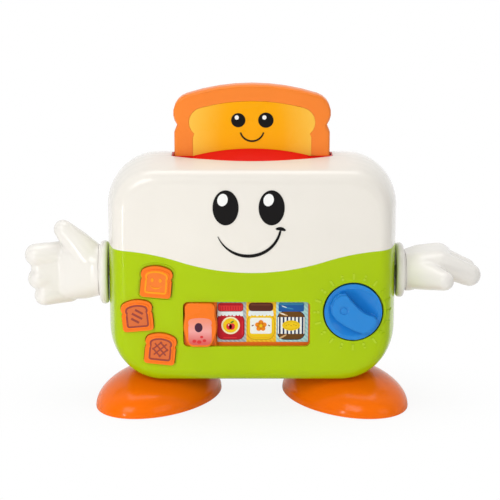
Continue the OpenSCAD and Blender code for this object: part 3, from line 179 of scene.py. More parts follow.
def moulded(name, colour, roughness=0.22, coat=0.1, haze=0.08, mottle=0.05, peel=0.04, shine=0.14):
    """Glossy moulded plastic with faint flow marks in its colour and gloss and a fine skin. Coat and
    haze are its clear gloss and how soft that is, mottle its flow marks and peel its skin's depth."""
    paint = bpy.data.materials.new(name)
    paint.use_nodes = True
    nodes = paint.node_tree.nodes
    links = paint.node_tree.links
    shader = nodes["Principled BSDF"]
    shader.inputs["Coat Weight"].default_value = coat
    shader.inputs["Coat Roughness"].default_value = haze
    shader.inputs["Specular IOR Level"].default_value = shine
    place = nodes.new("ShaderNodeTexCoord")
    flow = nodes.new("ShaderNodeTexNoise")
    flow.inputs["Scale"].default_value = 14
    flow.inputs["Detail"].default_value = 3
    links.new(place.outputs["Object"], flow.inputs["Vector"])
    tone = nodes.new("ShaderNodeValToRGB")
    tone.color_ramp.elements[0].position = 0.3
    tone.color_ramp.elements[1].position = 0.7
    tone.color_ramp.elements[0].color = (*[c * (1 - mottle) for c in colour], 1)
    tone.color_ramp.elements[1].color = (*[min(1, c * (1 + mottle)) for c in colour], 1)
    links.new(flow.outputs["Fac"], tone.inputs["Fac"])
    links.new(tone.outputs["Color"], shader.inputs["Base Color"])
    smear = nodes.new("ShaderNodeTexNoise")
    smear.inputs["Scale"].default_value = 60
    smear.inputs["Detail"].default_value = 4
    links.new(place.outputs["Object"], smear.inputs["Vector"])
    gloss = nodes.new("ShaderNodeMapRange")
    gloss.inputs["To Min"].default_value = roughness * 0.8
    gloss.inputs["To Max"].default_value = roughness * 1.25
    links.new(smear.outputs["Fac"], gloss.inputs["Value"])
    links.new(gloss.outputs["Result"], shader.inputs["Roughness"])
    skin = nodes.new("ShaderNodeTexNoise")
    skin.inputs["Scale"].default_value = 900
    skin.inputs["Detail"].default_value = 2
    links.new(place.outputs["Object"], skin.inputs["Vector"])
    bump = nodes.new("ShaderNodeBump")
    bump.inputs["Strength"].default_value = peel
    bump.inputs["Distance"].default_value = 0.0003
    links.new(skin.outputs["Fac"], bump.inputs["Height"])
    links.new(bump.outputs["Normal"], shader.inputs["Normal"])
    return paint


def as_piece(name, form, material, crease=40):
    """A shown piece from a bmesh: smooth faces, sharp where they meet at more than the crease."""
    for face in form.faces:
        face.smooth = True
    for edge in form.edges:
        edge.smooth = not (edge.is_manifold and edge.calc_face_angle(0) > math.radians(crease))
    mesh = bpy.data.meshes.new(name)
    form.to_mesh(mesh)
    form.free()
    piece = bpy.data.objects.new(name, mesh)
    bpy.context.scene.collection.objects.link(piece)
    for paint in material if isinstance(material, list) else [material]:
        mesh.materials.append(paint)
    return piece


def even_shading(piece):
    """Wide flat faces set the shading of the narrow ones beside them."""
    weigh = piece.modifiers.new("even_shading", "WEIGHTED_NORMAL")
    weigh.mode = "FACE_AREA"
    weigh.weight = 100
    weigh.keep_sharp = True


def stand_for(piece, node, body):
    """The piece takes a CAD node's place: the node is hidden and the piece goes on its body."""
    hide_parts(node)
    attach(piece, body)


def merged_form(*names):
    """One bmesh of the named CAD nodes, their loose triangles joined."""
    form = bmesh.new()
    for name in names:
        form.from_mesh(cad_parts[name].data)
    bmesh.ops.remove_doubles(form, verts=form.verts, dist=0.000002)
    return form


def moulding(name, node, body, material, crease=40, soften=0):
    """A smooth-shaded copy of one CAD node, with its sharp edges rounded by soften."""
    form = merged_form(node)
    if soften:
        bmesh.ops.dissolve_limit(form, angle_limit=math.radians(1), verts=form.verts, edges=form.edges)
    piece = as_piece(name, form, material, crease)
    if soften:
        round_over = piece.modifiers.new("round_over", "BEVEL")
        round_over.width = soften
        round_over.segments = 3
        round_over.limit_method = "ANGLE"
        round_over.angle_limit = math.radians(crease)
        round_over.harden_normals = False
    even_shading(piece)
    stand_for(piece, node, body)
    return piece


white_plastic = moulded("white_plastic", shell_white, roughness=0.15, coat=0.35, mottle=0.015, shine=0.22)
green_plastic = moulded("green_plastic", shell_green, roughness=0.16, mottle=0.03, shine=0.11)
# The marks' material is the shell's green with a painted highlight.
mark_painted_highlight = moulded("mark_painted_highlight", painted_highlight_green, roughness=0.25, mottle=0.04)

dial_low, dial_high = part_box("dial_knob")
dial_middle = (dial_low + dial_high) / 2
# The marks' tops stand in front of mark_y, in a ring round the dial.
mark_y = -0.0413
mark_inner = 0.0235
mark_outer = 0.0310
for half in ("front", "rear"):
    moulding(half + "_white_shell", half + "_upper_shell", "housing", white_plastic, crease=35)
    green_shell = moulding(half + "_green_shell", half + "_lower_shell", "housing",
                           [green_plastic, mark_painted_highlight], crease=35)
    # The tops of the raised marks round the dial are painted paler: a painted highlight on marks moulded in
    # the shell's own green.
    for face in green_shell.data.polygons:
        reach = math.hypot(face.center.x - dial_middle.x, face.center.z - dial_middle.z)
        if face.center.y < mark_y and mark_inner < reach < mark_outer:
            face.material_index = 1


# ---- Slot insert: one red moulding with two domes and the toast's chute ----
# Its flange lies under the white shells' top and its domes stand up through the slot. It is
# translucent red plastic, which passes some of the light of the small lamp below it.
red_lens = moulded("red_lens", (0.82, 0.012, 0.006), roughness=0.32, coat=0.04, mottle=0.04, shine=0.08)
red_depth = red_lens.node_tree.nodes["Principled BSDF"].inputs
red_depth["Subsurface Weight"].default_value = 0.15
red_depth["Subsurface Radius"].default_value = (0.004, 0.001, 0.0005)
moulding("red_slot_insert", "slot_insert", "housing", red_lens, crease=35, soften=0.0006)


# ---- Toast slice: two crust halves, two printed panels and the lift carriage ----
# The crust is orange moulded plastic with rounded edges; the panels are amber in the middle and
# paler towards their sides, and the front one carries two printed eyes and a smile.
crust_plastic = moulded("crust_plastic", (0.98, 0.248, 0.032), roughness=0.3, mottle=0.05)
for half in ("front", "rear"):
    moulding(half + "_crust", "toast_" + half + "_shell", "toast", crust_plastic, crease=50, soften=0.0008)

panel_yellow = moulded("panel_yellow", (1.0, 0.45, 0.01), roughness=0.28, coat=0.06, mottle=0.02, shine=0.1)
nodes = panel_yellow.node_tree.nodes
links = panel_yellow.node_tree.links
spot_place = nodes.new("ShaderNodeTexCoord")
spot_shift = nodes.new("ShaderNodeMapping")
spot_height = 0.200
spot_squeeze = 0.5
spot_shift.inputs["Location"].default_value = (0, 0, -spot_height * spot_squeeze)
spot_shift.inputs["Scale"].default_value = (1, 0, spot_squeeze)
spot = nodes.new("ShaderNodeVectorMath")
spot.operation = "LENGTH"
spot_tone = nodes.new("ShaderNodeValToRGB")
spot_tone.color_ramp.elements[0].position = 0.022
spot_tone.color_ramp.elements[0].color = (0.99, 0.415, 0.001, 1)
spot_tone.color_ramp.elements[1].position = 0.046
spot_tone.color_ramp.elements[1].color = (1.0, 0.56, 0.07, 1)
links.new(spot_place.outputs["Object"], spot_shift.inputs["Vector"])
links.new(spot_shift.outputs["Vector"], spot.inputs[0])
links.new(spot.outputs["Value"], spot_tone.inputs["Fac"])
links.new(spot_tone.outputs["Color"], nodes["Principled BSDF"].inputs["Base Color"])
for half in ("front", "rear"):
    moulding(half + "_toast_panel", "toast_" + half + "_panel", "toast", panel_yellow, crease=40)

ink_black = moulded("ink_black", (0.006, 0.005, 0.005), roughness=0.3, coat=0.06, mottle=0.2, peel=0.02,
                    shine=0.12)
ink_white = moulded("ink_white", (0.92, 0.92, 0.90), roughness=0.35, coat=0.1, mottle=0.01, peel=0.02)
# A second layer of ink stands this far above the first.
ink_step = 0.00004


def oval_chip(form, x, z, width, height, y_back, y_front, ink=0, tilt=0):
    """A thin printed oval, facing -Y."""
    place = Matrix.Translation((x, (y_back + y_front) / 2, z)) @ Matrix.Rotation(tilt, 4, "Y")
    place = place @ Matrix.Diagonal((width, y_back - y_front, height, 1))
    place = place @ Matrix.Rotation(math.pi / 2, 4, "X")
    before = set(form.faces)
    bmesh.ops.create_cone(form, cap_ends=True, segments=48, radius1=0.5, radius2=0.5, depth=1, matrix=place)
    for face in set(form.faces) - before:
        face.material_index = ink


def smile_chip(form, x, z, y_back, y_front, half, sag, thick, thinning, up=1, tilt=0.0, lean=0.0):
    """A thin printed arc, its ends up and drawn thin: a flat strip bent round the smile's middle.
    x and z are the middle of its chord less the sag; up = -1 turns it over, tilt lifts its right end
    and lean keeps that end thicker."""
    radius = (half * half + sag * sag) / (2 * sag)
    reach = math.asin(half / radius)
    strip = bmesh.ops.create_grid(form, x_segments=32, y_segments=1, size=1)["verts"]
    for vert in strip:
        share = vert.co.x
        taper = 1 - thinning * abs(share) ** 1.5 * (1 - lean if share > 0 else 1)
        ring = radius + (0 if vert.co.y < 0 else -thick * taper)
        angle = share * reach
        along = ring * math.sin(angle)
        rise = up * (radius - sag - ring * math.cos(angle))
        vert.co = Vector((x + along * math.cos(tilt) - rise * math.sin(tilt), y_back,
                          z + sag + along * math.sin(tilt) + rise * math.cos(tilt)))
    faces = list({face for vert in strip for face in vert.link_faces})
    grown = bmesh.ops.extrude_face_region(form, geom=faces)["geom"]
    raised = [part for part in grown if isinstance(part, bmesh.types.BMVert)]
    bmesh.ops.translate(form, vec=(0, y_front - y_back, 0), verts=raised)


toast_low, toast_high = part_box("toast_face")
toast_eye_x = 0.0101
toast_eye_z = 0.2152
toast_print = bmesh.new()
for side, across in ((-1, 0.0104), (1, 0.0112)):
    oval_chip(toast_print, side * toast_eye_x, toast_eye_z, across, across, toast_high.y, toast_low.y)
    oval_chip(toast_print, side * toast_eye_x - 0.0011, toast_eye_z + 0.0020, 0.0031, 0.0033, toast_high.y,
              toast_low.y - ink_step, ink=1)
smile_chip(toast_print, 0, toast_low.z, toast_high.y, toast_low.y, half=0.0090, sag=0.0070, thick=0.00135,
           thinning=0.15)
bmesh.ops.recalc_face_normals(toast_print, faces=toast_print.faces)
toast_smile = as_piece("toast_print", toast_print, [ink_black, ink_white])
stand_for(toast_smile, "toast_face", "toast")


def dress(material, *names):
    """Gives CAD nodes that show their own solid a material."""
    for name in names:
        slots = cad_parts[name].data.materials
        slots.clear()
        slots.append(material)


# Milky acetal for the parts that slide or click
acetal = moulded("acetal", (0.78, 0.77, 0.72), roughness=0.4, coat=0, mottle=0.03)
dress(acetal, "toast_carriage", "latch_lever", "dial_star", "left_star", "right_star")


# ---- Face print on the front shell ----
# Two tall black ovals with a pale glint each, and a smile, printed in gloss ink on the white shell.
face_low, face_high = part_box("face_inlay")
face_x = (face_low.x + face_high.x) / 2
eye_width = 0.0188
eye_height = 0.0258
eye_z = face_high.z - eye_height / 2
glint_step = 0.00005
face_print = bmesh.new()
for side in (-1, 1):
    eye_x = face_x + side * 0.0166
    oval_chip(face_print, eye_x, eye_z, eye_width, eye_height, face_high.y, face_low.y)
    oval_chip(face_print, eye_x - 0.0022, eye_z + 0.0058, 0.0074, 0.0092, face_high.y,
              face_low.y - glint_step, ink=1, tilt=0.25)
# The smile, and the small cheek mark over its right end
smile_chip(face_print, face_x + 0.0006, face_low.z, face_high.y, face_low.y, half=0.0232, sag=0.0177,
           thick=0.0024, thinning=0.8, tilt=0.09, lean=0.55)
smile_chip(face_print, face_x + 0.0232, face_low.z + 0.0192, face_high.y, face_low.y, half=0.0039,
           sag=0.0018, thick=0.0028, thinning=0.5, up=-1, tilt=-0.14)
bmesh.ops.recalc_face_normals(face_print, faces=face_print.faces)
body_face = as_piece("face_print", face_print, [ink_black, ink_white])
stand_for(body_face, "face_inlay", "housing")


# ---- Push buttons: three small orange slices of bread ----
# Each is a hollow moulding with a stepped rim. A band and a motif stand up on its face; their tops
# are printed, yellow on the smiling one and brown on the others, and the face inside is tinted.
button_plastic = moulded("button_plastic", (0.97, 0.200, 0.012), roughness=0.26, coat=0.15, mottle=0.04)
ink_brown = moulded("ink_brown", (0.33, 0.065, 0.045), roughness=0.4, coat=0.05, mottle=0.08)
tint_brown = moulded("tint_brown", (0.72, 0.165, 0.045), roughness=0.35, coat=0.05, mottle=0.1)
ink_honey = moulded("ink_honey", (1.0, 0.360, 0.010), roughness=0.3, mottle=0.05)
tint_peach = moulded("tint_peach", (0.94, 0.215, 0.030), roughness=0.3, mottle=0.08)


def button(name, node, body, middle, tilt, ink, tint):
    """One key cap. The ink lies on its highest faces, and the tint on the face that the band frames."""
    inked_depth = 0.00016
    tinted_depth = 0.0005
    tinted_reach = 0.0080
    piece = moulding(name, node, body, [button_plastic, ink, tint], crease=35, soften=0.0006)
    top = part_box(node)[0].y
    turn_back = Matrix.Rotation(math.radians(tilt), 4, "Y")
    for face in piece.data.polygons:
        if face.normal.y > -0.9:
            continue
        corners = [turn_back @ (piece.data.vertices[i].co - Vector(middle)) for i in face.vertices]
        reach = max(max(abs(corner.x), abs(corner.z)) for corner in corners)
        if face.center.y < top + inked_depth:
            face.material_index = 1
        elif face.center.y < top + tinted_depth and reach < tinted_reach:
            face.material_index = 2


button("smile_key_cap", "smile_button", "smile_key", (-0.0697, 0, 0.1022), -5, ink_honey, tint_peach)
button("stripe_key_cap", "stripe_button", "stripe_key", (-0.0840, 0, 0.0767), 5, ink_brown, tint_brown)
button("waffle_key_cap", "waffle_button", "waffle_key", (-0.0673, 0, 0.0514), -6, ink_brown, tint_brown)


# ---- Picture window: tray, printed card and three storage jars ----
# An orange tray behind the window holds a card with grey, amber and pale teal panels. The first
# panel is plain, where the pointer rests, and the others have a printed jar with a lid and a label.
tray_plastic = moulded("tray_plastic", (0.95, 0.20, 0.02), roughness=0.3, mottle=0.04)
moulding("orange_tray", "picture_tray", "housing", tray_plastic, crease=35)

card_paper = moulded("card_paper", (0.4, 0.42, 0.44), roughness=0.45, coat=0.1, mottle=0.05, peel=0.02)
nodes = card_paper.node_tree.nodes
links = card_paper.node_tree.links
card_place = nodes.new("ShaderNodeTexCoord")
card_split = nodes.new("ShaderNodeSeparateXYZ")
card_reach = nodes.new("ShaderNodeMapRange")
card_left = -0.052
card_right = 0.042
card_reach.inputs["From Min"].default_value = card_left
card_reach.inputs["From Max"].default_value = card_right
card_tone = nodes.new("ShaderNodeValToRGB")
card_tone.color_ramp.interpolation = "CONSTANT"
card_tone.color_ramp.elements[0].color = (0.34, 0.36, 0.40, 1)
card_tone.color_ramp.elements[1].position = 0.267
card_tone.color_ramp.elements[1].color = (0.42, 0.46, 0.50, 1)
for stop, tint in ((0.504, (0.93, 0.52, 0.02, 1)), (0.741, (0.42, 0.68, 0.70, 1))):
    card_tone.color_ramp.elements.new(stop).color = tint
# A slanting weave in a paler tint runs over the panels.
card_weave = nodes.new("ShaderNodeTexWave")
card_weave.bands_direction = "DIAGONAL"
card_weave.inputs["Scale"].default_value = 190
card_weave.inputs["Distortion"].default_value = 1.5
card_paler = nodes.new("ShaderNodeMix")
card_paler.data_type = "RGBA"
card_paler.blend_type = "SOFT_LIGHT"
card_paler.inputs["Factor"].default_value = 0.35
links.new(card_place.outputs["Object"], card_split.inputs[0])
links.new(card_split.outputs["X"], card_reach.inputs["Value"])
links.new(card_reach.outputs["Result"], card_tone.inputs["Fac"])
links.new(card_place.outputs["Object"], card_weave.inputs["Vector"])
links.new(card_tone.outputs["Color"], card_paler.inputs["A"])
links.new(card_weave.outputs["Color"], card_paler.inputs["B"])
links.new(card_paler.outputs["Result"], nodes["Principled BSDF"].inputs["Base Color"])
dress(card_paper, "picture_card")


def printed(name, colour, mottle=0.06):
    """Satin printing ink."""
    return moulded(name, colour, roughness=0.38, coat=0.05, mottle=mottle, peel=0.02, shine=0.12)


jar_inks = {
    "glass": printed("ink_frill", (0.80, 0.86, 0.86)),
    "red": printed("ink_red", (0.52, 0.010, 0.022)),
    "bright_red": printed("ink_bright_red", (0.74, 0.035, 0.040)),
    "deep_red": printed("ink_deep_red", (0.24, 0.004, 0.012)),
    "cream": printed("ink_cream", (0.93, 0.86, 0.58)),
    "yellow": printed("ink_yellow", (0.90, 0.60, 0.010)),
    "gold": printed("ink_gold", (0.62, 0.36, 0.010)),
    "amber": printed("ink_amber", (0.90, 0.50, 0.010)),
    "brown": printed("ink_lid_brown", (0.105, 0.022, 0.012)),
    "light_brown": printed("ink_light_brown", (0.19, 0.050, 0.026)),
    "white": printed("ink_label", (0.88, 0.88, 0.84), 0.02),
    "blue": printed("ink_lid_blue", (0.016, 0.105, 0.36)),
    "light_blue": printed("ink_light_blue", (0.045, 0.24, 0.46)),
    "navy": printed("ink_navy", (0.012, 0.022, 0.090)),
    "cocoa": printed("ink_cocoa", (0.15, 0.060, 0.010)),
    "caramel": printed("ink_caramel", (0.66, 0.40, 0.17)),
    "orange": printed("ink_orange", (0.88, 0.26, 0.008)),
    "leaf": printed("ink_leaf", (0.10, 0.26, 0.02)),
}
print_low, print_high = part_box("jar_pictures")
sheet_y = print_high.y
base = print_low.z
jar_width = 0.0206
# The three jars stand at even steps along the card, each on a block of the CAD model.
jar_block = 0.0205
jar_pitch = (print_high.x - print_low.x - jar_block) / 2
jar_x = [print_low.x + jar_block / 2 + i * jar_pitch for i in range(3)]


def layer_y(layer):
    """The front of a layer of ink; each stands a few hundredths of a millimetre above the last."""
    return sheet_y - ink_step * (layer + 1)


def rounded_chip(form, x, rise, width, height, corner, layer, ink):
    """A thin printed rectangle with rounded corners, its middle at a rise above the jars' base."""
    front = layer_y(layer)
    place = Matrix.Translation((x, (sheet_y + front) / 2, base + rise))
    place = place @ Matrix.Diagonal((width, sheet_y - front, height, 1))
    new = bmesh.ops.create_cube(form, size=1, matrix=place)["verts"]
    if corner:
        edges = {e for v in new for e in v.link_edges}
        posts = [e for e in edges if abs((e.verts[0].co - e.verts[1].co).y) > 0.00001]
        made = bmesh.ops.bevel(form, geom=posts, offset=corner, segments=6, profile=0.5, affect="EDGES",
                               material=-1)
        new = list({v for f in made["faces"] for v in f.verts} | {v for v in new if v.is_valid})
    for face in {f for v in new for f in v.link_faces}:
        face.material_index = ink


def spot_chip(form, x, rise, width, height, layer, ink, tilt=0):
    """A thin printed oval on the card."""
    oval_chip(form, x, base + rise, width, height, sheet_y, layer_y(layer), ink, tilt)


def jar_glass(form, x, middle, height, corner, outline, filling):
    """The jar's outline in one ink, and half a millimetre inside it the filling in another."""
    rounded_chip(form, x, middle, jar_width, height, corner, 0, outline)
    rounded_chip(form, x, middle, jar_width - 0.0010, height - 0.0010, corner - 0.0004, 1, filling)


def clear_neck(form, x, ink):
    """The pale glass neck, its lower edge in soft scallops."""
    rounded_chip(form, x, 0.0210, 0.0182, 0.0030, 0.0008, 4, ink)
    for i in range(7):
        spot_chip(form, x + (i - 3) * 0.0027, 0.0195 + 0.0003 * (i % 2), 0.0026, 0.0024, 3, ink)


def jar_piece(name, form, inks):
    """Ends a jar's picture. Its faces hold the numbers of their inks in the list of inks."""
    bmesh.ops.recalc_face_normals(form, faces=form.faces)
    piece = as_piece(name, form, [jar_inks[i] for i in inks], crease=30)
    stand_for(piece, "jar_pictures", "housing")


# Red jar: ribbed lid, round cream label with an apple
red_jar = bmesh.new()
x = jar_x[0]
inks = ["deep_red", "red", "bright_red", "glass", "cream", "yellow", "leaf"]
deep_red, red, bright_red, glass, cream, yellow, leaf = range(len(inks))
jar_glass(red_jar, x, 0.0100, 0.0198, 0.0052, deep_red, red)
rounded_chip(red_jar, x + 0.0086, 0.0096, 0.0006, 0.0110, 0.0003, 2, bright_red)
rounded_chip(red_jar, x - 0.0004, 0.0018, 0.0100, 0.0006, 0.0003, 2, bright_red)
clear_neck(red_jar, x, glass)
rounded_chip(red_jar, x, 0.0252, 0.0188, 0.0066, 0.0022, 5, deep_red)
rounded_chip(red_jar, x, 0.0254, 0.0180, 0.0060, 0.0020, 6, bright_red)
rounded_chip(red_jar, x, 0.0272, 0.0162, 0.0014, 0.0006, 7, red)
for i in range(9):
    rounded_chip(red_jar, x + (i - 4) * 0.0019, 0.0243, 0.0006, 0.0030, 0.0002, 7, red)
label = 0.0112
spot_chip(red_jar, x, label, 0.0136, 0.0134, 2, cream)
spot_chip(red_jar, x, label, 0.0112, 0.0110, 3, yellow)
for side in (-1, 1):
    spot_chip(red_jar, x + side * 0.0011, 0.0104, 0.0042, 0.0050, 4, bright_red, side * 0.15)
spot_chip(red_jar, x + 0.0011, 0.0139, 0.0028, 0.0013, 5, leaf, -0.5)
spot_chip(red_jar, x - 0.0014, 0.0116, 0.0008, 0.0014, 5, cream, 0.3)
jar_piece("red_jar", red_jar, inks)

# Yellow jar: plain brown lid, pale label with a five-petalled flower
yellow_jar = bmesh.new()
x = jar_x[1]
inks = ["gold", "yellow", "amber", "glass", "brown", "light_brown", "white", "orange"]
gold, yellow, amber, glass, brown, light_brown, white, orange = range(len(inks))
jar_glass(yellow_jar, x, 0.0100, 0.0198, 0.0060, gold, yellow)
rounded_chip(yellow_jar, x, 0.0086, 0.0176, 0.0140, 0.0036, 2, amber)
rounded_chip(yellow_jar, x, 0.0091, 0.0170, 0.0134, 0.0034, 3, yellow)
clear_neck(yellow_jar, x, glass)
rounded_chip(yellow_jar, x, 0.0254, 0.0180, 0.0064, 0.0026, 5, brown)
rounded_chip(yellow_jar, x, 0.0272, 0.0150, 0.0014, 0.0007, 6, light_brown)
label = 0.0110
petal_out = 0.0026
rounded_chip(yellow_jar, x, label, 0.0158, 0.0122, 0.0016, 4, white)
for i in range(5):
    turn = math.radians(90 + 72 * i)
    spot_chip(yellow_jar, x + petal_out * math.cos(turn), label + petal_out * math.sin(turn), 0.0036,
              0.0036, 5, orange)
spot_chip(yellow_jar, x, label, 0.0024, 0.0024, 6, yellow)
for side in (-1, 1):
    spot_chip(yellow_jar, x + side * 0.0060, 0.0112, 0.0018, 0.0009, 5, brown, side * 0.5)
jar_piece("yellow_jar", yellow_jar, inks)

# Brown jar: blue lid, striped label with a yellow oval
brown_jar = bmesh.new()
x = jar_x[2]
inks = ["navy", "cocoa", "caramel", "white", "blue", "light_blue", "yellow", "gold"]
navy, cocoa, caramel, white, blue, light_blue, yellow, gold = range(len(inks))
jar_glass(brown_jar, x, 0.0112, 0.0222, 0.0058, navy, cocoa)
spot_chip(brown_jar, x - 0.0058, 0.0198, 0.0070, 0.0014, 2, caramel, 0.35)
spot_chip(brown_jar, x - 0.0062, 0.0026, 0.0066, 0.0014, 2, caramel, -0.5)
spot_chip(brown_jar, x - 0.0062, 0.0200, 0.0036, 0.0006, 3, white, 0.35)
label = 0.0112
label_high = 0.0128
rounded_chip(brown_jar, x, label, 0.0198, label_high, 0.0004, 3, white)
for i in range(7):
    rounded_chip(brown_jar, x + (i - 3) * 0.0028, label, 0.0012, label_high, 0, 4, navy)
spot_chip(brown_jar, x, label, 0.0132, 0.0078, 5, yellow)
spot_chip(brown_jar, x, label, 0.0112, 0.0060, 6, gold)
spot_chip(brown_jar, x, label, 0.0106, 0.0054, 7, yellow)
for i in range(5):
    spot_chip(brown_jar, x + (i - 2) * 0.0018, label + 0.0007 * (i % 2), 0.0010, 0.0010, 8, gold)
rounded_chip(brown_jar, x, 0.0252, 0.0186, 0.0066, 0.0012, 5, blue)
rounded_chip(brown_jar, x, 0.0277, 0.0180, 0.0018, 0.0008, 6, light_blue)
spot_chip(brown_jar, x - 0.0026, 0.0246, 0.0090, 0.0012, 6, light_blue, 0.2)
spot_chip(brown_jar, x - 0.0052, 0.0256, 0.0042, 0.0006, 7, white, 0.35)
jar_piece("brown_jar", brown_jar, inks)


# ---- Picture pointer: a small orange loaf that slides along the window ----
# It is moulded in the buttons' plastic, with a pink printed patch that carries a dark oval and a
# few red dots. A stem through the slit above the card holds the wiper that reads its place.
moulding("pointer_loaf", "pointer_knob", "pointer", button_plastic, crease=35, soften=0.0007)
patch_pink = moulded("patch_pink", (0.90, 0.30, 0.26), roughness=0.3, mottle=0.1)
nodes = patch_pink.node_tree.nodes
links = patch_pink.node_tree.links
patch_place = nodes.new("ShaderNodeTexCoord")
patch_split = nodes.new("ShaderNodeSeparateXYZ")
patch_rise = nodes.new("ShaderNodeMapRange")
patch_foot = 0.054
patch_top = 0.076
patch_rise.inputs["From Min"].default_value = patch_foot
patch_rise.inputs["From Max"].default_value = patch_top
patch_tone = nodes.new("ShaderNodeValToRGB")
patch_tone.color_ramp.elements[0].position = 0.1
patch_tone.color_ramp.elements[0].color = (0.72, 0.12, 0.11, 1)
patch_tone.color_ramp.elements[1].position = 0.85
patch_tone.color_ramp.elements[1].color = (0.90, 0.30, 0.20, 1)
patch_tone.color_ramp.elements.new(0.5).color = (0.88, 0.38, 0.36, 1)
links.new(patch_place.outputs["Object"], patch_split.inputs[0])
links.new(patch_split.outputs["Z"], patch_rise.inputs["Value"])
links.new(patch_rise.outputs["Result"], patch_tone.inputs["Fac"])
links.new(patch_tone.outputs["Color"], nodes["Principled BSDF"].inputs["Base Color"])
dress(patch_pink, "pointer_face")

patch_low, patch_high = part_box("pointer_face")
patch_x = (patch_low.x + patch_high.x) / 2
patch_ink_y = patch_low.y - ink_step
patch_print = bmesh.new()
oval_chip(patch_print, patch_x - 0.0010, patch_high.z - 0.0072, 0.0058, 0.0070, patch_high.y, patch_ink_y)
red_dots = ((-0.0042, 0.0030, 0.0030), (-0.0006, 0.0024, 0.0034), (0.0032, 0.0034, 0.0028),
            (0.0012, 0.0062, 0.0024))
for dot_x, dot_z, wide in red_dots:
    oval_chip(patch_print, patch_x + dot_x, patch_low.z + dot_z, wide, wide * 0.8, patch_high.y,
              patch_ink_y, ink=1)
bmesh.ops.recalc_face_normals(patch_print, faces=patch_print.faces)
ink_plum = printed("ink_plum", (0.075, 0.020, 0.045))
pointer_spots = as_piece("pointer_spots", patch_print, [ink_plum, jar_inks["bright_red"]])
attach(pointer_spots, "pointer")


# ---- Dial: a blue click knob in a round recess ----
# A dished disc with a broad raised grip and a small ring for its pointer, on a shaft with a
# star wheel and a steel leaf behind the shell.
dial_blue = moulded("dial_blue", (0.014, 0.245, 0.70), roughness=0.22, coat=0.3, mottle=0.04, shine=0.2)
moulding("blue_dial", "dial_knob", "dial", dial_blue, crease=30, soften=0.0009)


# ---- Hands: two white gloves on round cuffs ----
# Each hand is a soft white form with three fingers and a thumb, on an oval cuff whose axle turns
# in the body's side. The right one is the same moulding, turned a quarter.
glove_white = moulded("glove_white", (0.87, 0.84, 0.79), roughness=0.24, coat=0.4, haze=0.16,
                      mottle=0.012, shine=0.22)
# The gloves begin at glove_x; the hands' axis is at the height hand_z.
glove_x = 0.1145
hand_z = 0.100


def set_down(name, form, to_place, material, node, body, crease):
    """Puts a finished form in its place on the toy, as a piece that stands for a CAD node."""
    form.transform(to_place)
    bmesh.ops.recalc_face_normals(form, faces=form.faces)
    stand_for(as_piece(name, form, material, crease), node, body)


def stretch_skin(form):
    """Leaves only the convex skin round the form's vertices."""
    bmesh.ops.delete(form, geom=form.edges[:], context="EDGES_FACES")
    bmesh.ops.convex_hull(form, input=form.verts)
    bmesh.ops.delete(form, geom=[v for v in form.verts if not v.link_faces], context="VERTS")
    bmesh.ops.recalc_face_normals(form, faces=form.faces)


def limb(form, *balls):
    """A smooth skin stretched over a few balls, each (x, y, z, radius) in millimetres."""
    part = bmesh.new()
    for x, y, z, r in balls:
        bmesh.ops.create_icosphere(part, subdivisions=3, radius=r / 1000,
                                   matrix=Matrix.Translation((x / 1000, y / 1000, z / 1000)))
    stretch_skin(part)
    loose = bpy.data.meshes.new("part")
    part.to_mesh(loose)
    part.free()
    form.from_mesh(loose)
    bpy.data.meshes.remove(loose)


def glove_mesh():
    """One glove along +X from its mouth at 0: a palm, three fingers and their web, and the thumb,
    melted together on a fine grid and smoothed."""
    form = bmesh.new()
    limb(form, (1.5, 0, 5, 14.4), (1.5, 0, -5, 14.4), (14, 4, 10, 13), (25, 6.5, 9, 11.5),
         (26, 6.5, -13, 11.5), (12, 4, -10, 13))
    limb(form, (25, 8, 11, 9.8), (47.5, -0.5, 12, 8.6))
    limb(form, (25, 8, -5, 9.3), (46, -0.5, -6.4, 8.3))
    limb(form, (24, 7.5, -18, 8.8), (42, -0.5, -19.5, 7.8))
    limb(form, (25, 6, 4, 9), (45.5, -0.5, 2.4, 6.2), (24, 6, -12, 8.5), (41.5, -0.5, -12.4, 6))
    limb(form, (7, 1, 8, 13.4), (16, 0.5, 19.5, 10.6))
    limb(form, (16, 0.5, 19.5, 10.6), (26.7, 0, 31.6, 7.3))
    mesh = bpy.data.meshes.new("glove_form")
    form.to_mesh(mesh)
    form.free()
    holder = bpy.data.objects.new("glove_form", mesh)
    bpy.context.scene.collection.objects.link(holder)
    join = holder.modifiers.new("join", "REMESH")
    join.mode = "VOXEL"
    join.voxel_size = 0.0009
    join.use_smooth_shade = True
    relax = holder.modifiers.new("relax", "SMOOTH")
    relax.factor = 0.5
    relax.iterations = 16
    made = bpy.data.meshes.new_from_object(holder.evaluated_get(bpy.context.evaluated_depsgraph_get()))
    bpy.data.objects.remove(holder)
    return made


glove_made = glove_mesh()
cuff_low, cuff_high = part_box("left_cuff")
cuff_x = 0.1074
rim_thick = 0.0062
neck_deep = 0.0290
neck_high = 0.0390
axle_x = 0.0957
axle_wide = 0.008
pin_x = 0.0923
pin_wide = 0.0052
rim_deep = cuff_high.y - cuff_low.y
rim_high = cuff_high.z - cuff_low.z
rim_drop = hand_z - (cuff_high.z + cuff_low.z) / 2


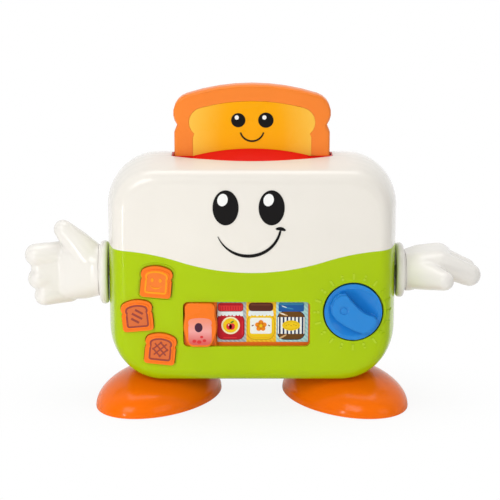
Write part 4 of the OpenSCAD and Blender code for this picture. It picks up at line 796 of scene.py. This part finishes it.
def cuff_form():
    """The oval rim with rounded edges, the neck that meets the glove, the axle and the axle's thin
    end, each drum running from one x to another and into the next."""
    form = bmesh.new()
    across = Matrix.Rotation(math.pi / 2, 4, "Y")

    def drum(x0, x1, deep, high, drop=0.0, segments=64):
        place = Matrix.Translation(((x0 + x1) / 2, 0, -drop)) @ Matrix.Diagonal((1, deep, high, 1)) @ across
        return bmesh.ops.create_cone(form, cap_ends=True, segments=segments, radius1=0.5, radius2=0.5,
                                     depth=x1 - x0, matrix=place)["verts"]

    rim = drum(cuff_x, cuff_x + rim_thick, rim_deep, rim_high, drop=rim_drop)
    edges = {e for v in rim for e in v.link_edges}
    rounds = [e for e in edges if abs((e.verts[0].co - e.verts[1].co).x) < 0.000001]
    bmesh.ops.bevel(form, geom=rounds, offset=0.0027, segments=8, profile=0.5, affect="EDGES", material=-1)
    drum(cuff_x + 0.0050, glove_x, neck_deep, neck_high)
    drum(axle_x, cuff_x + 0.001, axle_wide, axle_wide, segments=32)
    drum(pin_x, axle_x + 0.001, pin_wide, pin_wide, segments=32)
    return form


def cut_flat(form, point, outward):
    """Cuts off what lies past a plane, and closes the cut."""
    bmesh.ops.bisect_plane(form, geom=form.verts[:] + form.edges[:] + form.faces[:], dist=0.000001,
                           plane_co=point, plane_no=outward, clear_outer=True)
    bmesh.ops.holes_fill(form, edges=[e for e in form.edges if e.is_boundary], sides=0)


to_axis = Matrix.Translation((0, 0, hand_z))
left_place = to_axis @ Matrix.Diagonal((-1, 1, 1, 1))
right_place = to_axis @ Matrix.Rotation(math.pi / 2, 4, "X")
for side, to_place in (("left", left_place), ("right", right_place)):
    glove = bmesh.new()
    glove.from_mesh(glove_made)
    glove.transform(Matrix.Translation((glove_x, 0, 0)))
    cut_flat(glove, (glove_x + 0.0002, 0, 0), (-1, 0, 0))
    hand = side + "_hand"
    set_down(side + "_glove_form", glove, to_place, glove_white, side + "_glove", hand, crease=60)
    set_down(side + "_cuff_form", cuff_form(), to_place, glove_white, side + "_cuff", hand, crease=30)
bpy.data.meshes.remove(glove_made)


# ---- Feet: two orange domes with soles ----
# Oval domes, toes turned out, shaped to the body's underside and held by screws from below; a
# grey rubber pad stands a millimetre proud under each.
foot_orange = moulded("foot_orange", (1.0, 0.168, 0.001), roughness=0.2, mottle=0.03)
foot_x = 0.0705
foot_turn = 57
foot_half_length = 0.0595
foot_half_width = 0.0405
foot_rise = 0.026
sole_rise = 0.001


def foot_form(side):
    """Half an egg, flat side down, over the sole; side is -1 or 1."""
    form = bmesh.new()
    bmesh.ops.create_uvsphere(form, u_segments=96, v_segments=64, radius=1)
    cut_flat(form, (0, 0, 0), (0, 0, -1))
    form.transform(Matrix.Translation((side * foot_x, 0, sole_rise))
                   @ Matrix.Rotation(math.radians(-foot_turn * side), 4, "Z")
                   @ Matrix.Diagonal((foot_half_length, foot_half_width, foot_rise, 1)))
    return form


# The body's outer skin, made from its rear half and a mirrored one
body_block = merged_form("rear_upper_shell", "rear_lower_shell")
bmesh.ops.mirror(body_block, geom=body_block.verts[:] + body_block.edges[:] + body_block.faces[:], axis="Y")
stretch_skin(body_block)
block = as_piece("body_block", body_block, foot_orange)


def shaped_to_body(form):
    """The foot's dome with the body's underside cut out of it."""
    dome = as_piece("dome", form, foot_orange)
    cut = dome.modifiers.new("cut", "BOOLEAN")
    cut.operation = "DIFFERENCE"
    cut.solver = "EXACT"
    cut.object = block
    mesh = bpy.data.meshes.new_from_object(dome.evaluated_get(bpy.context.evaluated_depsgraph_get()))
    bpy.data.objects.remove(dome)
    made = bmesh.new()
    made.from_mesh(mesh)
    bpy.data.meshes.remove(mesh)
    return made


for name, side in (("left", -1), ("right", 1)):
    set_down(name + "_foot_dome", shaped_to_body(foot_form(side)), Matrix.Identity(4), foot_orange,
             name + "_foot", "housing", crease=35)
bpy.data.objects.remove(block)

sole_rubber = moulded("sole_rubber", (0.06, 0.06, 0.065), roughness=0.7, coat=0, mottle=0.2, peel=0.3)
dress(sole_rubber, "left_sole", "right_sole")


# ---- Back: battery door and power slide ----
# The door is the shell's own green plastic, with a screw at its top. The slide beside it is
# black and turns the toy on and off.
moulding("battery_cover", "battery_door", "housing", green_plastic, crease=35, soften=0.0004)
black_plastic = moulded("black_plastic", (0.018, 0.018, 0.02), roughness=0.4, coat=0.1, mottle=0.2)
moulding("power_slide", "power_knob", "power", black_plastic, crease=35, soften=0.0003)


# ---- Metal parts: screws, rods, contacts and springs ----
# Screws, guide rods and latch pin are zinc plated, the case screws in deep round holes. The click
# leaves, the battery contacts and the two springs that lift the toast are bright spring steel.
def bright_steel(name, tone, roughness):
    """Plated or drawn steel with fine streaks in its gloss."""
    paint = moulded(name, tone, roughness=roughness, coat=0, mottle=0.08, peel=0.05)
    paint.node_tree.nodes["Principled BSDF"].inputs["Metallic"].default_value = 1
    return paint


zinc = bright_steel("zinc", (0.62, 0.62, 0.64), 0.35)
spring_wire = bright_steel("spring_wire", (0.50, 0.50, 0.52), 0.25)
dress(zinc, "case_screws", "foot_screws", "inner_screws", "door_screw", "dial_screw", "left_hand_screw",
      "right_hand_screw", "guide_rods", "latch_pin")
dress(spring_wire, "click_springs", "battery_contacts")
# The lift springs stand on their bracket; in the toy they shorten as the toast goes down. Each piece here
# gets its own copy of its mesh.
for side in ("left", "right"):
    coil = moulding(side + "_lift_spring", side + "_spring", "housing", spring_wire, crease=60)
    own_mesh(coil)


# ---- Inside: battery box, board, speaker, lamp and wires ----
# Black mouldings carry three cells, a green circuit board with its parts, a paper-cone speaker
# on the rear wall and a small lamp under the red insert.
dress(black_plastic, "battery_box", "speaker", "speaker_clamp", "board_parts", "switch_body", "rod_bracket",
      "pointer_wiper")
dress(moulded("cell_sleeve", (0.55, 0.36, 0.06), roughness=0.3, mottle=0.1), "battery_cells")
dress(moulded("solder_mask", (0.01, 0.12, 0.04), roughness=0.35, mottle=0.25), "main_board")
dress(moulded("silicone", (0.70, 0.70, 0.66), roughness=0.5, coat=0, mottle=0.04), "button_domes")
dress(moulded("clear_lamp", (0.85, 0.85, 0.80), roughness=0.1, mottle=0.02), "slot_lamp")
dress(moulded("wire_sleeve", (0.50, 0.01, 0.01), roughness=0.45, coat=0, mottle=0.1), "wiring")
